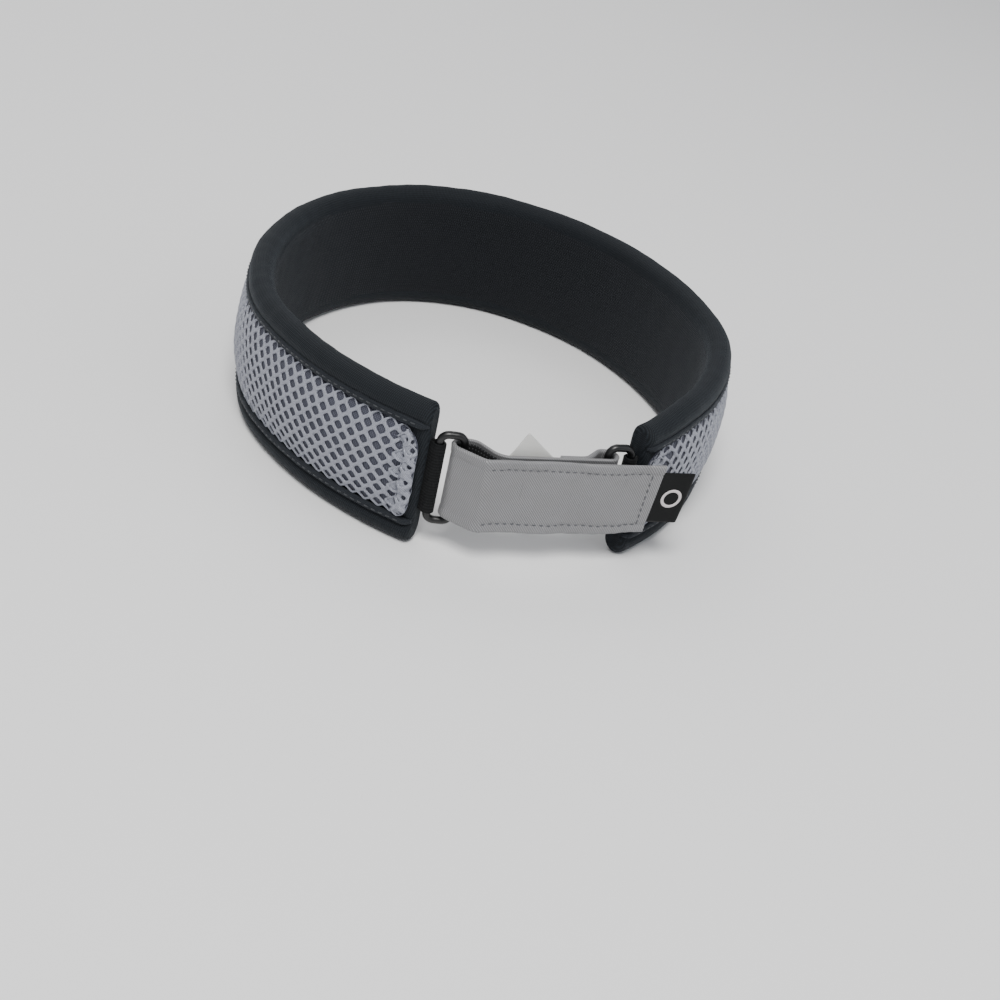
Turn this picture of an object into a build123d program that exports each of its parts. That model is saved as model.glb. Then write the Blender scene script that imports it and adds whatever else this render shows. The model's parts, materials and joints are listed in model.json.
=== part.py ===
from build123d import *
import math
import os

# Padded reflex-ball headband. Millimetres. +Z is up, -Y is the wearer's front, +X the wearer's left.
# z = 0 is the lower edge of the pad, and the origin is under the middle of the whole object.

# ---- driving dimensions ------------------------------------------------------------------------
PAD_HEIGHT = 54.0
PAD_THICKNESS = 9.0  # padded base without the mesh panel
HALF_WIDTH = 91.5  # centre line to the cover's outer face at the temples
REAR_RADIUS, REAR_ANGLE = 129.5, 37.0  # cover's outer face, behind the ear to the rear end
EAR_RADIUS, EAR_ANGLE = 77.5, 18.5
TEMPLE_RADIUS, TEMPLE_ANGLE = 130.0, 30.0
BROW_RADIUS, BROW_ANGLE = 102.0, 30.0
WIDEST_Y = 9.79  # the temples' place, which centres the whole object on the origin

COVER_WALL = 1.4
ROLL_RADIUS = 4.2  # rounding of the padded upper and lower edges
END_WALL = 1.6
GAP = 0.05  # between fabric layers that lie on each other
LINER_THICKNESS = 1.15
LINER_MARGIN = 5.0  # liner to the pad's edges
FOAM_END_TRIM = 11.0

MESH_LOW, MESH_HIGH = 10.5, 45.0
MESH_BULGE = 3.0
MESH_SKIN = 0.5
BACKING_SKIN = 0.4
EDGE_TAPER = 1.6  # how much further than its thickness each skin's edge lies inside the one above
MESH_END_TRIM = 3.0
LAYER_STEP = 1.0  # each layer under the mesh ends this much earlier than the one above
PIPING_RADIUS = 1.1
PIPING_OFFSET = 1.4  # piping's middle from the mesh panel's edge
THREAD_RADIUS = 0.3
SEAM_OFFSET = 4.2  # seam thread from the mesh panel's edge
CUT_OVER = 0.2  # how far a cut reaches past the wall that it opens

STRAP_WIDTH = 28.0
STRAP_THICKNESS = 1.4
STRAP_Z = 27.0
PATCH_THICKNESS = 0.7
LAYER_GAP = 0.1  # between hook and loop
FOLD_RADIUS = 3.3  # strap's middle line round a ring bar

ROD_RADIUS = 1.6
RING_PITCH = 8.2  # between the two upright bars' axes
RING_INNER_HEIGHT = 30.0
RING_CORNER = 2.8
RING_GAP = 3.0  # pad's end face to the tab-side bar's axis
RING_TILT = math.radians(5.0)

TAB_HEIGHT = 27.0
TAB_LOOP_OUTER, TAB_LOOP_INNER = 2.85, 1.9
TAB_STEM = 2.4
TAB_TAIL = 8.0
BARTACK_REACH = (-4.6, -2.6)  # from the pad's end face
BARTACK_HALF_HEIGHT = 11.0

FLAP_END_X = -43.0
FLAP_SPLIT_X = -8.0  # where the tail half of the flap bends away
FLAP_PEEL_ANGLE = 50.0  # where the flap leaves the fold, round the ring bar
HINGE_GAP = 0.15
RUN_STEP = (38.4, 3.0)  # from the strap's start over the right ring to its bend at the left ring
RUN_BEND, RUN_LEVEL_BEND = 7.0, 5.0  # bend radii
RUN_LEVEL = 4.5  # straight length that meets the left fold
TAIL_LEVEL = 2.5  # straight length that leaves the right fold, on the head side
TAIL_BENDS = (3.0, 4.0)
TAIL_BEND_REACH = 8.0  # from the right ring's bar
TAIL_END_X = -7.5
TAIL_SEAM_ANGLE = 91.5  # where the sewn-back tail begins, round the right ring's bar
FLAP_BEND = 8.0
PATCH_MARGIN = 2.5  # strap's edges to a hook or loop patch
LOOP_PATCH_X = (-22.0, 8.5)
LINING_END_X = 10.0
HOOK_END_MARGIN = 4.0
PATCH_GAP = 0.5  # patch or stitch row to the place where the flap bends
PULL_TAB_LENGTH = 11.5
PULL_TAB_HEIGHT = 20.0
PULL_TAB_THICKNESS = 0.9
MARK_OUTER, MARK_INNER, MARK_HEIGHT = 3.6, 2.6, 0.3

LABEL_X = 3.2
LABEL_THICKNESS = 0.4
LABEL_STAND_OFF = 0.6  # from the strap's head-side face, filled by the folded hem
LABEL_LOW, LABEL_SEAM, LABEL_APEX = 34.5, 38.0, 48.6
LABEL_HALF_WIDTH = 8.8
LABEL_LEAN = 1.8  # the standing corner's offset from the label's middle
HEM_SHORTER = 4.0  # the hem ends this far before the label's corner
LABEL_STITCHES_X = (-4.8, 7.2)
LABEL_STITCHES_Z = 36.2

ANCHOR_HALF_ANGLE = 13.5
ANCHOR_HALF_HEIGHT = 14.5
ANCHOR_THICKNESS = 2.2
EYELET_BORE, EYELET_NECK, EYELET_FLANGE = 2.2, 3.4, 5.5
FLANGE_THICKNESS = 1.0
WASHER_THICKNESS = 0.8
WASHER_SET_BACK = 0.7  # behind the plate's middle, because the plate curves back from there
NECK_PAST_WASHER = 0.2
KNOT_POCKET_RADIUS = 6.0

STITCH_LENGTH, STITCH_PITCH, STITCH_SIZE = 2.1, 3.0, 0.45
STITCH_MARGIN = 3.0  # strap's edges to a row of stitches
BOX_STITCH_X = (-14.6, -8.4)
BOX_ROW_INSET = 0.3
FLAP_STITCHES_START_X = 13.0

# ---- the pad's plan, as arcs from the left rear end round the forehead to the right rear end --------
FOREHEAD_ANGLE = 180.0 - 2 * (TEMPLE_ANGLE + BROW_ANGLE)


def cosd(angle):
    return math.cos(math.radians(angle))


def sind(angle):
    return math.sin(math.radians(angle))


FOREHEAD_RADIUS = (
    HALF_WIDTH
    - TEMPLE_RADIUS * (1 - cosd(TEMPLE_ANGLE))
    - BROW_RADIUS * (cosd(TEMPLE_ANGLE) - cosd(TEMPLE_ANGLE + BROW_ANGLE))
) / cosd(TEMPLE_ANGLE + BROW_ANGLE)
HALF_ARCS = [
    (REAR_RADIUS, REAR_ANGLE),
    (EAR_RADIUS, EAR_ANGLE),
    (TEMPLE_RADIUS, TEMPLE_ANGLE),
    (BROW_RADIUS, BROW_ANGLE),
]
PAD_ARCS = HALF_ARCS + [(FOREHEAD_RADIUS, FOREHEAD_ANGLE)] + HALF_ARCS[::-1]
REAR_END_ANGLE = REAR_ANGLE + EAR_ANGLE  # direction of the rear end's outward normal
EAR_CENTRE = Vector(HALF_WIDTH - EAR_RADIUS, WIDEST_Y)
OUTWARD_LEFT = Vector(cosd(REAR_END_ANGLE), sind(REAR_END_ANGLE))
REAR_CENTRE = EAR_CENTRE + Vector(cosd(EAR_ANGLE), sind(EAR_ANGLE)) * (EAR_RADIUS - REAR_RADIUS)
FRONT_Y = (
    WIDEST_Y
    - TEMPLE_RADIUS * sind(TEMPLE_ANGLE)
    - BROW_RADIUS * (sind(TEMPLE_ANGLE + BROW_ANGLE) - sind(TEMPLE_ANGLE))
    - FOREHEAD_RADIUS * (1 - sind(TEMPLE_ANGLE + BROW_ANGLE))
)
FOREHEAD_CENTRE = Vector(0, FRONT_Y + FOREHEAD_RADIUS)
MESH_MIDDLE = (MESH_LOW + MESH_HIGH) / 2


def pad_sweep(section, end_trim=0.0):
    """Carries a section round the pad, arc by arc, cut back at both rear ends.

    In the section, x is outwards from the cover's outer face and y is height.
    """
    solid = Part()
    angle = REAR_END_ANGLE
    centre = REAR_CENTRE
    last = len(PAD_ARCS) - 1
    for index, (radius, turn) in enumerate(PAD_ARCS):
        trim = math.degrees(end_trim / radius)
        first_cut = trim if index == 0 else 0.0
        last_cut = trim if index == last else 0.0
        outward = Vector(cosd(angle - first_cut), sind(angle - first_cut))
        face = Plane(origin=centre + outward * radius, x_dir=outward, z_dir=(outward.Y, -outward.X, 0))
        sweep_angle = turn - first_cut - last_cut
        solid += revolve(face * section, axis=Axis(centre, (0, 0, -1)), revolution_arc=sweep_angle)
        angle -= turn
        if index < last:
            centre = centre + Vector(cosd(angle), sind(angle)) * (radius - PAD_ARCS[index + 1][0])
    return solid


def block(x_range, y_range, z_range):
    corner = Vector(x_range[0], y_range[0], z_range[0])
    size = (x_range[1] - x_range[0], y_range[1] - y_range[0], z_range[1] - z_range[0])
    return Pos(corner) * Box(*size, align=(Align.MIN, Align.MIN, Align.MIN))


def rectangle(low, high):
    size = (high[0] - low[0], high[1] - low[1])
    return Pos((low[0] + high[0]) / 2, (low[1] + high[1]) / 2) * Rectangle(*size)


def rounded_rectangle(low, high, radius):
    size = (high[0] - low[0], high[1] - low[1])
    return Pos((low[0] + high[0]) / 2, (low[1] + high[1]) / 2) * RectangleRounded(*size, radius)


def crescent(inner, outer):
    """A bulging skin's section. inner and outer are (height reach from the middle, bulge)."""
    def bow(reach, bulge):
        low = (GAP, MESH_MIDDLE - reach)
        high = (GAP, MESH_MIDDLE + reach)
        return ThreePointArc(low, (GAP + bulge, MESH_MIDDLE), high)

    face = make_face([bow(*outer), Line((GAP, MESH_MIDDLE + outer[0]), (GAP, MESH_MIDDLE - outer[0]))])
    if inner is None:
        return face
    return face - make_face([bow(*inner), Line((GAP, MESH_MIDDLE + inner[0]), (GAP, MESH_MIDDLE - inner[0]))])


# ---- pad: cover, liner, foam, mesh panel, piping, seams ------------------------------------------
def make_pad():
    inside = -PAD_THICKNESS
    section = rounded_rectangle((inside, 0), (0, PAD_HEIGHT), ROLL_RADIUS)
    cavity = rounded_rectangle(
        (inside + COVER_WALL, COVER_WALL),
        (-COVER_WALL, PAD_HEIGHT - COVER_WALL),
        ROLL_RADIUS - COVER_WALL,
    )
    window = rectangle(
        (inside - CUT_OVER, LINER_MARGIN), (inside + COVER_WALL + CUT_OVER, PAD_HEIGHT - LINER_MARGIN)
    )
    liner = rectangle(
        (inside, LINER_MARGIN + GAP), (inside + LINER_THICKNESS, PAD_HEIGHT - LINER_MARGIN - GAP)
    )
    foam = rounded_rectangle(
        (inside + COVER_WALL + GAP, COVER_WALL + GAP),
        (-COVER_WALL - GAP, PAD_HEIGHT - COVER_WALL - GAP),
        ROLL_RADIUS - COVER_WALL - GAP,
    )
    cover = pad_sweep(section) - pad_sweep(cavity, END_WALL) - pad_sweep(window, LINER_MARGIN)
    for side in (1, -1):
        cover -= tab_frame(side) * block(
            (-END_WALL - CUT_OVER, CUT_OVER),
            (-TAB_STEM / 2 - GAP, TAB_STEM / 2 + GAP),
            (STRAP_Z - TAB_HEIGHT / 2 - GAP, STRAP_Z + TAB_HEIGHT / 2 + GAP),
        )
    half = (MESH_HIGH - MESH_LOW) / 2
    outer = (half, MESH_BULGE - GAP)
    under_cover = (half - MESH_SKIN * EDGE_TAPER, MESH_BULGE - GAP - MESH_SKIN)
    backing = (under_cover[0] - GAP, under_cover[1] - GAP)
    under_backing = (backing[0] - BACKING_SKIN * EDGE_TAPER, backing[1] - BACKING_SKIN)
    foam_panel = (under_backing[0] - GAP, under_backing[1] - GAP)
    pocket = Pos(0, FRONT_Y, MESH_MIDDLE) * Rot(90, 0, 0) * Cylinder(KNOT_POCKET_RADIUS, 4 * MESH_BULGE)
    return {
        "outer_shell": cover,
        "inner_liner": pad_sweep(liner, LINER_MARGIN + GAP),
        "foam_core": pad_sweep(foam, FOAM_END_TRIM) - pad_sweep(window, FOAM_END_TRIM),
        "mesh_foam": pad_sweep(crescent(None, foam_panel), MESH_END_TRIM + 2 * LAYER_STEP) - pocket,
        "mesh_backing": pad_sweep(crescent(under_backing, backing), MESH_END_TRIM + LAYER_STEP) - pocket,
        "mesh_cover": pad_sweep(crescent(under_cover, outer), MESH_END_TRIM) - pocket,
        "top_piping": pad_line(MESH_HIGH + PIPING_OFFSET, PIPING_RADIUS),
        "bottom_piping": pad_line(MESH_LOW - PIPING_OFFSET, PIPING_RADIUS),
        "top_seam_thread": pad_line(MESH_HIGH + SEAM_OFFSET, THREAD_RADIUS),
        "bottom_seam_thread": pad_line(MESH_LOW - SEAM_OFFSET, THREAD_RADIUS),
    }


def pad_line(height, radius):
    """A cord or thread that runs round the cover at one height, touching its outer face."""
    return pad_sweep(Pos(radius + GAP, height) * Circle(radius), MESH_END_TRIM)


# ---- the two rectangular rings and the tabs that hold them -----------------------------------------
def tab_frame(side):
    """At the middle of a rear end face: +X runs out of the pad's end, +Y outwards from the head."""
    middle = REAR_CENTRE + OUTWARD_LEFT * (REAR_RADIUS - PAD_THICKNESS / 2)
    beyond = Vector(-OUTWARD_LEFT.Y, OUTWARD_LEFT.X)
    if side > 0:
        return Plane(origin=middle, x_dir=beyond, z_dir=(0, 0, 1)).location
    middle = Vector(-middle.X, middle.Y)
    beyond = Vector(-beyond.X, beyond.Y)
    return Plane(origin=middle, x_dir=beyond, z_dir=(0, 0, 1)).location


def tab_bar(side):
    """The tab-side bar's axis: the ring's hinge line."""
    return (tab_frame(side) * Pos(RING_GAP, 0, 0)).position


def strap_bar(side):
    """The strap-side bar's axis."""
    along = Vector(-side * math.cos(RING_TILT), math.sin(RING_TILT))
    return tab_bar(side) + along * RING_PITCH


def make_ring(side):
    middle = (tab_bar(side) + strap_bar(side)) / 2 + Vector(0, 0, STRAP_Z)
    face = Plane(origin=middle, x_dir=strap_bar(side) - tab_bar(side), z_dir=(0, 0, 1))
    upright = face * Plane.XZ
    height = RING_INNER_HEIGHT + 2 * ROD_RADIUS
    path = (upright * RectangleRounded(RING_PITCH, height, RING_CORNER)).wire()
    rod = Plane(origin=path @ 0, z_dir=path % 0) * Circle(ROD_RADIUS)
    return sweep(rod, path=path)


def make_tab(side):
    stem = rectangle((-TAB_TAIL, -TAB_STEM / 2), (RING_GAP, TAB_STEM / 2))
    loop = Pos(RING_GAP, 0) * Circle(TAB_LOOP_OUTER)
    eye = Pos(RING_GAP, 0) * Circle(TAB_LOOP_INNER)
    low = STRAP_Z - TAB_HEIGHT / 2
    return tab_frame(side) * Pos(0, 0, low) * extrude(stem + loop - eye, amount=TAB_HEIGHT)


def make_bartack(side):
    """A dense bar of thread on the head side of the cover, through the tab's hidden tail."""
    head_side = -side * PAD_THICKNESS / 2
    thickness = sorted((head_side, head_side - side * STITCH_SIZE))
    height = (STRAP_Z - BARTACK_HALF_HEIGHT, STRAP_Z + BARTACK_HALF_HEIGHT)
    return tab_frame(side) * block(BARTACK_REACH, thickness, height)


# ---- strap ------------------------------------------------------------------------------------------
def ribbon(route, width, low, high):
    """A band of fabric standing on edge: route is its middle line in plan, width its thickness."""
    return Pos(0, 0, low) * extrude(trace(route, width), amount=high - low)


STRAP_LOW = STRAP_Z - STRAP_WIDTH / 2
STRAP_HIGH = STRAP_Z + STRAP_WIDTH / 2
LOW_ROW, HIGH_ROW = STRAP_LOW + STITCH_MARGIN, STRAP_HIGH - STITCH_MARGIN
LEFT_BAR = strap_bar(1)
RIGHT_BAR = strap_bar(-1)
RUN_START = RIGHT_BAR + Vector(0, FOLD_RADIUS)
RUN_CORNER = RUN_START + Vector(*RUN_STEP)
RUN_DIRECTION = (RUN_CORNER - RUN_START).normalized()
RUN_NORMAL = Vector(-RUN_DIRECTION.Y, RUN_DIRECTION.X)
FLAP_LIFT = STRAP_THICKNESS + 2 * PATCH_THICKNESS + LAYER_GAP


def on_run(x, lift=0.0):
    """The point of the strap's straight stretch at x, raised outwards by lift."""
    start = RUN_START + RUN_NORMAL * lift
    return start + RUN_DIRECTION * ((x - start.X) / RUN_DIRECTION.X)


def on_fold(bar, radius, angle):
    return bar + Vector(cosd(angle), sind(angle)) * radius


def flap_corner():
    """Where the flap's straight stretch meets the line on which it leaves the fold."""
    start = on_fold(LEFT_BAR, FOLD_RADIUS, FLAP_PEEL_ANGLE)
    leave = Vector(-sind(FLAP_PEEL_ANGLE), cosd(FLAP_PEEL_ANGLE))
    away = start - on_run(0, FLAP_LIFT)
    distance = -away.dot(RUN_NORMAL) / leave.dot(RUN_NORMAL)
    return start + leave * distance


def straight_band(x_from, x_to, lift, height, thickness):
    """A flat layer on the strap's straight stretch, centred on the strap's height."""
    route = Line(on_run(x_from, lift), on_run(x_to, lift))
    return ribbon(route, thickness, STRAP_Z - height / 2, STRAP_Z + height / 2)


def patch(x_from, x_to, lift):
    """A piece of hook or loop tape, inside the strap's edges."""
    return straight_band(x_from, x_to, lift, STRAP_WIDTH - 2 * PATCH_MARGIN, PATCH_THICKNESS)


def stitches_along(x_from, x_to, lift, height):
    """A row of stitches along the strap, standing proud of its face."""
    row = []
    for index in range(int((x_to - x_from) / STITCH_PITCH)):
        x = x_from + (index + 0.5) * STITCH_PITCH
        route = Line(on_run(x - STITCH_LENGTH / 2, lift), on_run(x + STITCH_LENGTH / 2, lift))
        low = height - STITCH_SIZE / 2
        row.append(ribbon(route, STITCH_SIZE / 2, low, low + STITCH_SIZE))
    return row


def stitches_up(x, lift):
    """A row of stitches across the strap, between the two rows along its edges."""
    row = []
    for index in range(int((HIGH_ROW - LOW_ROW) / STITCH_PITCH)):
        z = LOW_ROW + (index + 0.5) * STITCH_PITCH
        route = Line(on_run(x - STITCH_SIZE / 2, lift), on_run(x + STITCH_SIZE / 2, lift))
        row.append(ribbon(route, STITCH_SIZE / 2, z - STITCH_LENGTH / 2, z + STITCH_LENGTH / 2))
    return row


def rows_along(x_from, x_to, lift):
    """The two rows of stitches along the strap's edges."""
    return stitches_along(x_from, x_to, lift, LOW_ROW) + stitches_along(x_from, x_to, lift, HIGH_ROW)


def make_strap_run():
    """The strap from the right ring to the left one, with its tail sewn back round the right ring."""
    run_end = LEFT_BAR - Vector(0, FOLD_RADIUS)
    bends = [RUN_BEND, RUN_LEVEL_BEND]
    run = FilletPolyline(RUN_START, RUN_CORNER, run_end - Vector(RUN_LEVEL, 0), run_end, radius=bends)
    fold = CenterArc(LEFT_BAR, FOLD_RADIUS, -90, 90 + FLAP_PEEL_ANGLE)
    tail_lift = -STRAP_THICKNESS - GAP
    tail_end = on_run(TAIL_END_X, tail_lift)
    tail_bend = on_run(RIGHT_BAR.X + TAIL_BEND_REACH, tail_lift)
    under_bar = RIGHT_BAR - Vector(0, FOLD_RADIUS)
    tail = FilletPolyline(
        under_bar, under_bar + Vector(TAIL_LEVEL, 0), tail_bend, tail_end, radius=TAIL_BENDS
    )
    turn = CenterArc(RIGHT_BAR, FOLD_RADIUS, TAIL_SEAM_ANGLE, 270 - TAIL_SEAM_ANGLE)
    strap = {
        name: ribbon(route, STRAP_THICKNESS, STRAP_LOW, STRAP_HIGH)
        for name, route in (("run", run), ("fold", fold), ("tail", tail), ("turn", turn))
    }
    box_lift = -STRAP_THICKNESS * 1.5 - GAP - STITCH_SIZE / 4
    box_left, box_right = BOX_STITCH_X
    box = rows_along(box_left + BOX_ROW_INSET, box_right + BOX_ROW_INSET, box_lift)
    box += stitches_up(box_left, box_lift) + stitches_up(box_right, box_lift)
    return {
        "strap_run": strap["run"],
        "strap_fold": strap["fold"],
        "strap_anchor": strap["turn"] + strap["tail"],
        "anchor_box_stitch": Compound(children=box),
        "loop_patch": patch(*LOOP_PATCH_X, (STRAP_THICKNESS + PATCH_THICKNESS) / 2),
    }


def make_flap():
    """The strap past the left ring, folded back over its own run, in two halves that bend apart."""
    leave = Vector(-sind(FLAP_PEEL_ANGLE), cosd(FLAP_PEEL_ANGLE))
    root_start = on_fold(LEFT_BAR, FOLD_RADIUS, FLAP_PEEL_ANGLE) + leave * HINGE_GAP
    root_end = on_run(FLAP_SPLIT_X + HINGE_GAP, FLAP_LIFT)
    root = FilletPolyline(root_start, flap_corner(), root_end, radius=FLAP_BEND)
    tip = Line(on_run(FLAP_SPLIT_X - HINGE_GAP, FLAP_LIFT), on_run(FLAP_END_X, FLAP_LIFT))
    hook_lift = FLAP_LIFT - (STRAP_THICKNESS + PATCH_THICKNESS) / 2
    stitch_lift = FLAP_LIFT + STRAP_THICKNESS / 2 + STITCH_SIZE / 4
    root_rows = rows_along(FLAP_SPLIT_X + PATCH_GAP, FLAP_STITCHES_START_X, stitch_lift)
    tip_rows = stitches_up(FLAP_END_X + STITCH_MARGIN, stitch_lift)
    tip_rows += rows_along(FLAP_END_X + STITCH_MARGIN + PATCH_GAP, FLAP_SPLIT_X - PATCH_GAP, stitch_lift)
    return {
        "flap_root": ribbon(root, STRAP_THICKNESS, STRAP_LOW, STRAP_HIGH),
        "flap_lining": patch(FLAP_SPLIT_X + PATCH_GAP, LINING_END_X, hook_lift),
        "flap_tip": ribbon(tip, STRAP_THICKNESS, STRAP_LOW, STRAP_HIGH),
        "hook_patch": patch(FLAP_END_X + HOOK_END_MARGIN, FLAP_SPLIT_X - PATCH_GAP, hook_lift),
        "flap_root_stitching": Compound(children=root_rows),
        "flap_tip_stitching": Compound(children=tip_rows),
    }


def make_pull_tab():
    start = FLAP_END_X - HINGE_GAP
    end = start - PULL_TAB_LENGTH
    tab = straight_band(end, start, FLAP_LIFT, PULL_TAB_HEIGHT, PULL_TAB_THICKNESS)
    face = FLAP_LIFT + PULL_TAB_THICKNESS / 2
    middle = on_run((start + end) / 2, face) + Vector(0, 0, STRAP_Z)
    mark_plane = Plane(origin=middle, x_dir=RUN_DIRECTION, z_dir=RUN_NORMAL)
    mark = mark_plane * extrude(Circle(MARK_OUTER) - Circle(MARK_INNER), amount=MARK_HEIGHT)
    return {"pull_tab": tab, "pull_tab_mark": mark}


# ---- care label ---------------------------------------------------------------------------------------
def make_label():
    """A small blank label whose corner stands above the strap, with its hem sewn on the strap's head side."""
    head_face = -STRAP_THICKNESS / 2
    back = head_face - LABEL_STAND_OFF - LABEL_THICKNESS
    origin = on_run(LABEL_X, back)
    upright = Plane(origin=origin, x_dir=RUN_DIRECTION, z_dir=-RUN_NORMAL)
    low = LABEL_SEAM + HINGE_GAP
    corners = [(-LABEL_HALF_WIDTH, low), (LABEL_HALF_WIDTH, low), (LABEL_LEAN, LABEL_APEX)]
    flag = make_face(Polyline(*corners, close=True))
    hem = rectangle((-LABEL_HALF_WIDTH, LABEL_LOW), (LABEL_HALF_WIDTH - HEM_SHORTER, LABEL_SEAM))
    rows = stitches_along(*LABEL_STITCHES_X, back - STITCH_SIZE / 4, LABEL_STITCHES_Z)
    return {
        "care_label": extrude(upright * flag, amount=-LABEL_THICKNESS),
        "care_label_hem": extrude(upright * hem, amount=-LABEL_THICKNESS - LABEL_STAND_OFF + GAP),
        "label_stitch": Compound(children=rows),
    }


# ---- cord anchor at the forehead ----------------------------------------------------------------------
def make_cord_anchor():
    """A curved moulded patch over the mesh with a metal eyelet. A pocket behind it holds the cord's knot."""
    radius = FOREHEAD_RADIUS
    inner_bow = MESH_BULGE + 3 * GAP
    half = (MESH_HIGH - MESH_LOW) / 2
    drop = MESH_BULGE * (ANCHOR_HALF_HEIGHT / half) ** 2
    low, high = MESH_MIDDLE - ANCHOR_HALF_HEIGHT, MESH_MIDDLE + ANCHOR_HALF_HEIGHT
    inner = ThreePointArc((inner_bow - drop, low), (inner_bow, MESH_MIDDLE), (inner_bow - drop, high))
    face_bow = inner_bow + ANCHOR_THICKNESS
    outer = ThreePointArc((face_bow - drop, low), (face_bow, MESH_MIDDLE), (face_bow - drop, high))
    top = Line(inner @ 1, outer @ 1)
    bottom = Line(inner @ 0, outer @ 0)
    section = make_face([inner, top, outer, bottom])
    start = 270 - ANCHOR_HALF_ANGLE
    outward = Vector(cosd(start), sind(start))
    plane = Plane(
        origin=FOREHEAD_CENTRE + outward * radius,
        x_dir=outward,
        z_dir=Vector(outward.Y, -outward.X),
    )
    axis = Axis(FOREHEAD_CENTRE, (0, 0, 1))
    plate = revolve(plane * section, axis=axis, revolution_arc=2 * ANCHOR_HALF_ANGLE)
    face_y = FRONT_Y - face_bow
    ahead = Pos(0, 0, MESH_MIDDLE) * Rot(90, 0, 0)  # local +Z points to the front
    hole = ahead * Pos(0, 0, -face_y) * Cylinder(EYELET_NECK + GAP, 6 * ANCHOR_THICKNESS)
    plate -= hole
    washer_low = -FRONT_Y + inner_bow - WASHER_THICKNESS - WASHER_SET_BACK
    neck_low = washer_low - NECK_PAST_WASHER
    flange_low = -face_y + GAP

    def disc(low, radius, length):
        from_low = (Align.CENTER, Align.CENTER, Align.MIN)
        return ahead * Pos(0, 0, low) * Cylinder(radius, length, align=from_low)

    neck_length = flange_low + FLANGE_THICKNESS - neck_low
    eyelet = disc(flange_low, EYELET_FLANGE, FLANGE_THICKNESS) + disc(neck_low, EYELET_NECK, neck_length)
    eyelet -= disc(neck_low - CUT_OVER, EYELET_BORE, neck_length + 2 * CUT_OVER)
    washer = disc(washer_low, EYELET_FLANGE, WASHER_THICKNESS)
    washer -= disc(washer_low - CUT_OVER, EYELET_NECK + GAP, WASHER_THICKNESS + 2 * CUT_OVER)
    return {"cord_anchor_plate": plate, "cord_eyelet": eyelet, "eyelet_washer": washer}


parts = {}
parts.update(make_pad())
for side, name in ((1, "left"), (-1, "right")):
    parts[name + "_ring"] = make_ring(side)
    parts[name + "_ring_tab"] = make_tab(side)
    parts[name + "_tab_bartack"] = make_bartack(side)
parts.update(make_strap_run())
parts.update(make_flap())
parts.update(make_pull_tab())
parts.update(make_label())
parts.update(make_cord_anchor())

os.makedirs("parts", exist_ok=True)
for name, shape in parts.items():
    export_step(shape, f"parts/{name}.step")
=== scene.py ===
import json
import math

import bmesh
import bpy
import numpy as np
from mathutils import Matrix, Vector


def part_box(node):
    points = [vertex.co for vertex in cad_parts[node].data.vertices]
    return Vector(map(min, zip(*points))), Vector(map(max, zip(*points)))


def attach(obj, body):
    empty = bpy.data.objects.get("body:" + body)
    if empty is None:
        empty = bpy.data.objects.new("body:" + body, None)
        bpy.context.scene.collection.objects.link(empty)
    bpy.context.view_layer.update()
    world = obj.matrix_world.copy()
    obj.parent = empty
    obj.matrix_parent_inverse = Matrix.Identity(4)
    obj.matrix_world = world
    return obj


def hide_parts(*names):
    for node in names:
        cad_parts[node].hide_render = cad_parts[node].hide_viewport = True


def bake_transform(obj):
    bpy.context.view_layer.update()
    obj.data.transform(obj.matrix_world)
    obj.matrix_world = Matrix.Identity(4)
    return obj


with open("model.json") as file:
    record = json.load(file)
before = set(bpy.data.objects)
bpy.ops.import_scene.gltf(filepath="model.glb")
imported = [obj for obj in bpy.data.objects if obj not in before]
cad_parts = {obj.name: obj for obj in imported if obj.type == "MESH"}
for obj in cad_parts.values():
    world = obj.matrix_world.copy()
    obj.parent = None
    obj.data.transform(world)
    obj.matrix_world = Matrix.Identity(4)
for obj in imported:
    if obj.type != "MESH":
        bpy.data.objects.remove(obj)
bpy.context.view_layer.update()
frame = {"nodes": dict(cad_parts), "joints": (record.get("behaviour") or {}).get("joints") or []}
MM = 0.001
TAU = 2 * math.pi

# ---- driving dimensions (metres), the CAD model's own ------------------------------
shell_low, shell_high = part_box("outer_shell")
PAD_HEIGHT = shell_high.z
HALF_WIDTH = shell_high.x
PAD_THICKNESS = 9.0 * MM
REAR_ARC = (129.5 * MM, 37.0)  # radius of the cover's outer face in plan, and its turn in degrees
EAR_ARC = (77.5 * MM, 18.5)
TEMPLE_ARC = (130.0 * MM, 30.0)
BROW_ARC = (102.0 * MM, 30.0)
mesh_low, mesh_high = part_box("mesh_cover")
MESH_LOW, MESH_HIGH = mesh_low.z, mesh_high.z
MESH_MIDDLE = (MESH_LOW + MESH_HIGH) / 2
MESH_HALF = (MESH_HIGH - MESH_LOW) / 2
MESH_BULGE = mesh_high.x - HALF_WIDTH
MESH_END = 2.2 * MM  # from the pad's rear end to the mesh panel

joints = {j["name"]: j for j in frame["joints"]}
strap_low, strap_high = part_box("flap_tip")
STRAP_WIDTH = strap_high.z - strap_low.z
STRAP_Z = (strap_high.z + strap_low.z) / 2
STRAP_THICKNESS = 1.4 * MM
FOLD_RADIUS = 3.3 * MM  # the strap's middle line round a ring's bar
RING_PITCH = 8.2 * MM
RING_HEIGHT = 33.2 * MM  # between the middles of its short sides
RING_TILT = math.radians(5.0)
PEEL_ANGLE = 50.0
FLAP_LIFT = 2.9 * MM
FLAP_END_X = -43.0 * MM
FLAP_SPLIT_X = -8.0 * MM
TAB_Z = 28.3 * MM  # middle of the pull tab


# ---- small helpers ------------------------------
def cosd(angle):
    return math.cos(math.radians(angle))


def sind(angle):
    return math.sin(math.radians(angle))


def smooth_step(x):
    x = np.clip(x, 0.0, 1.0)
    return x * x * (3 - 2 * x)


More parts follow.
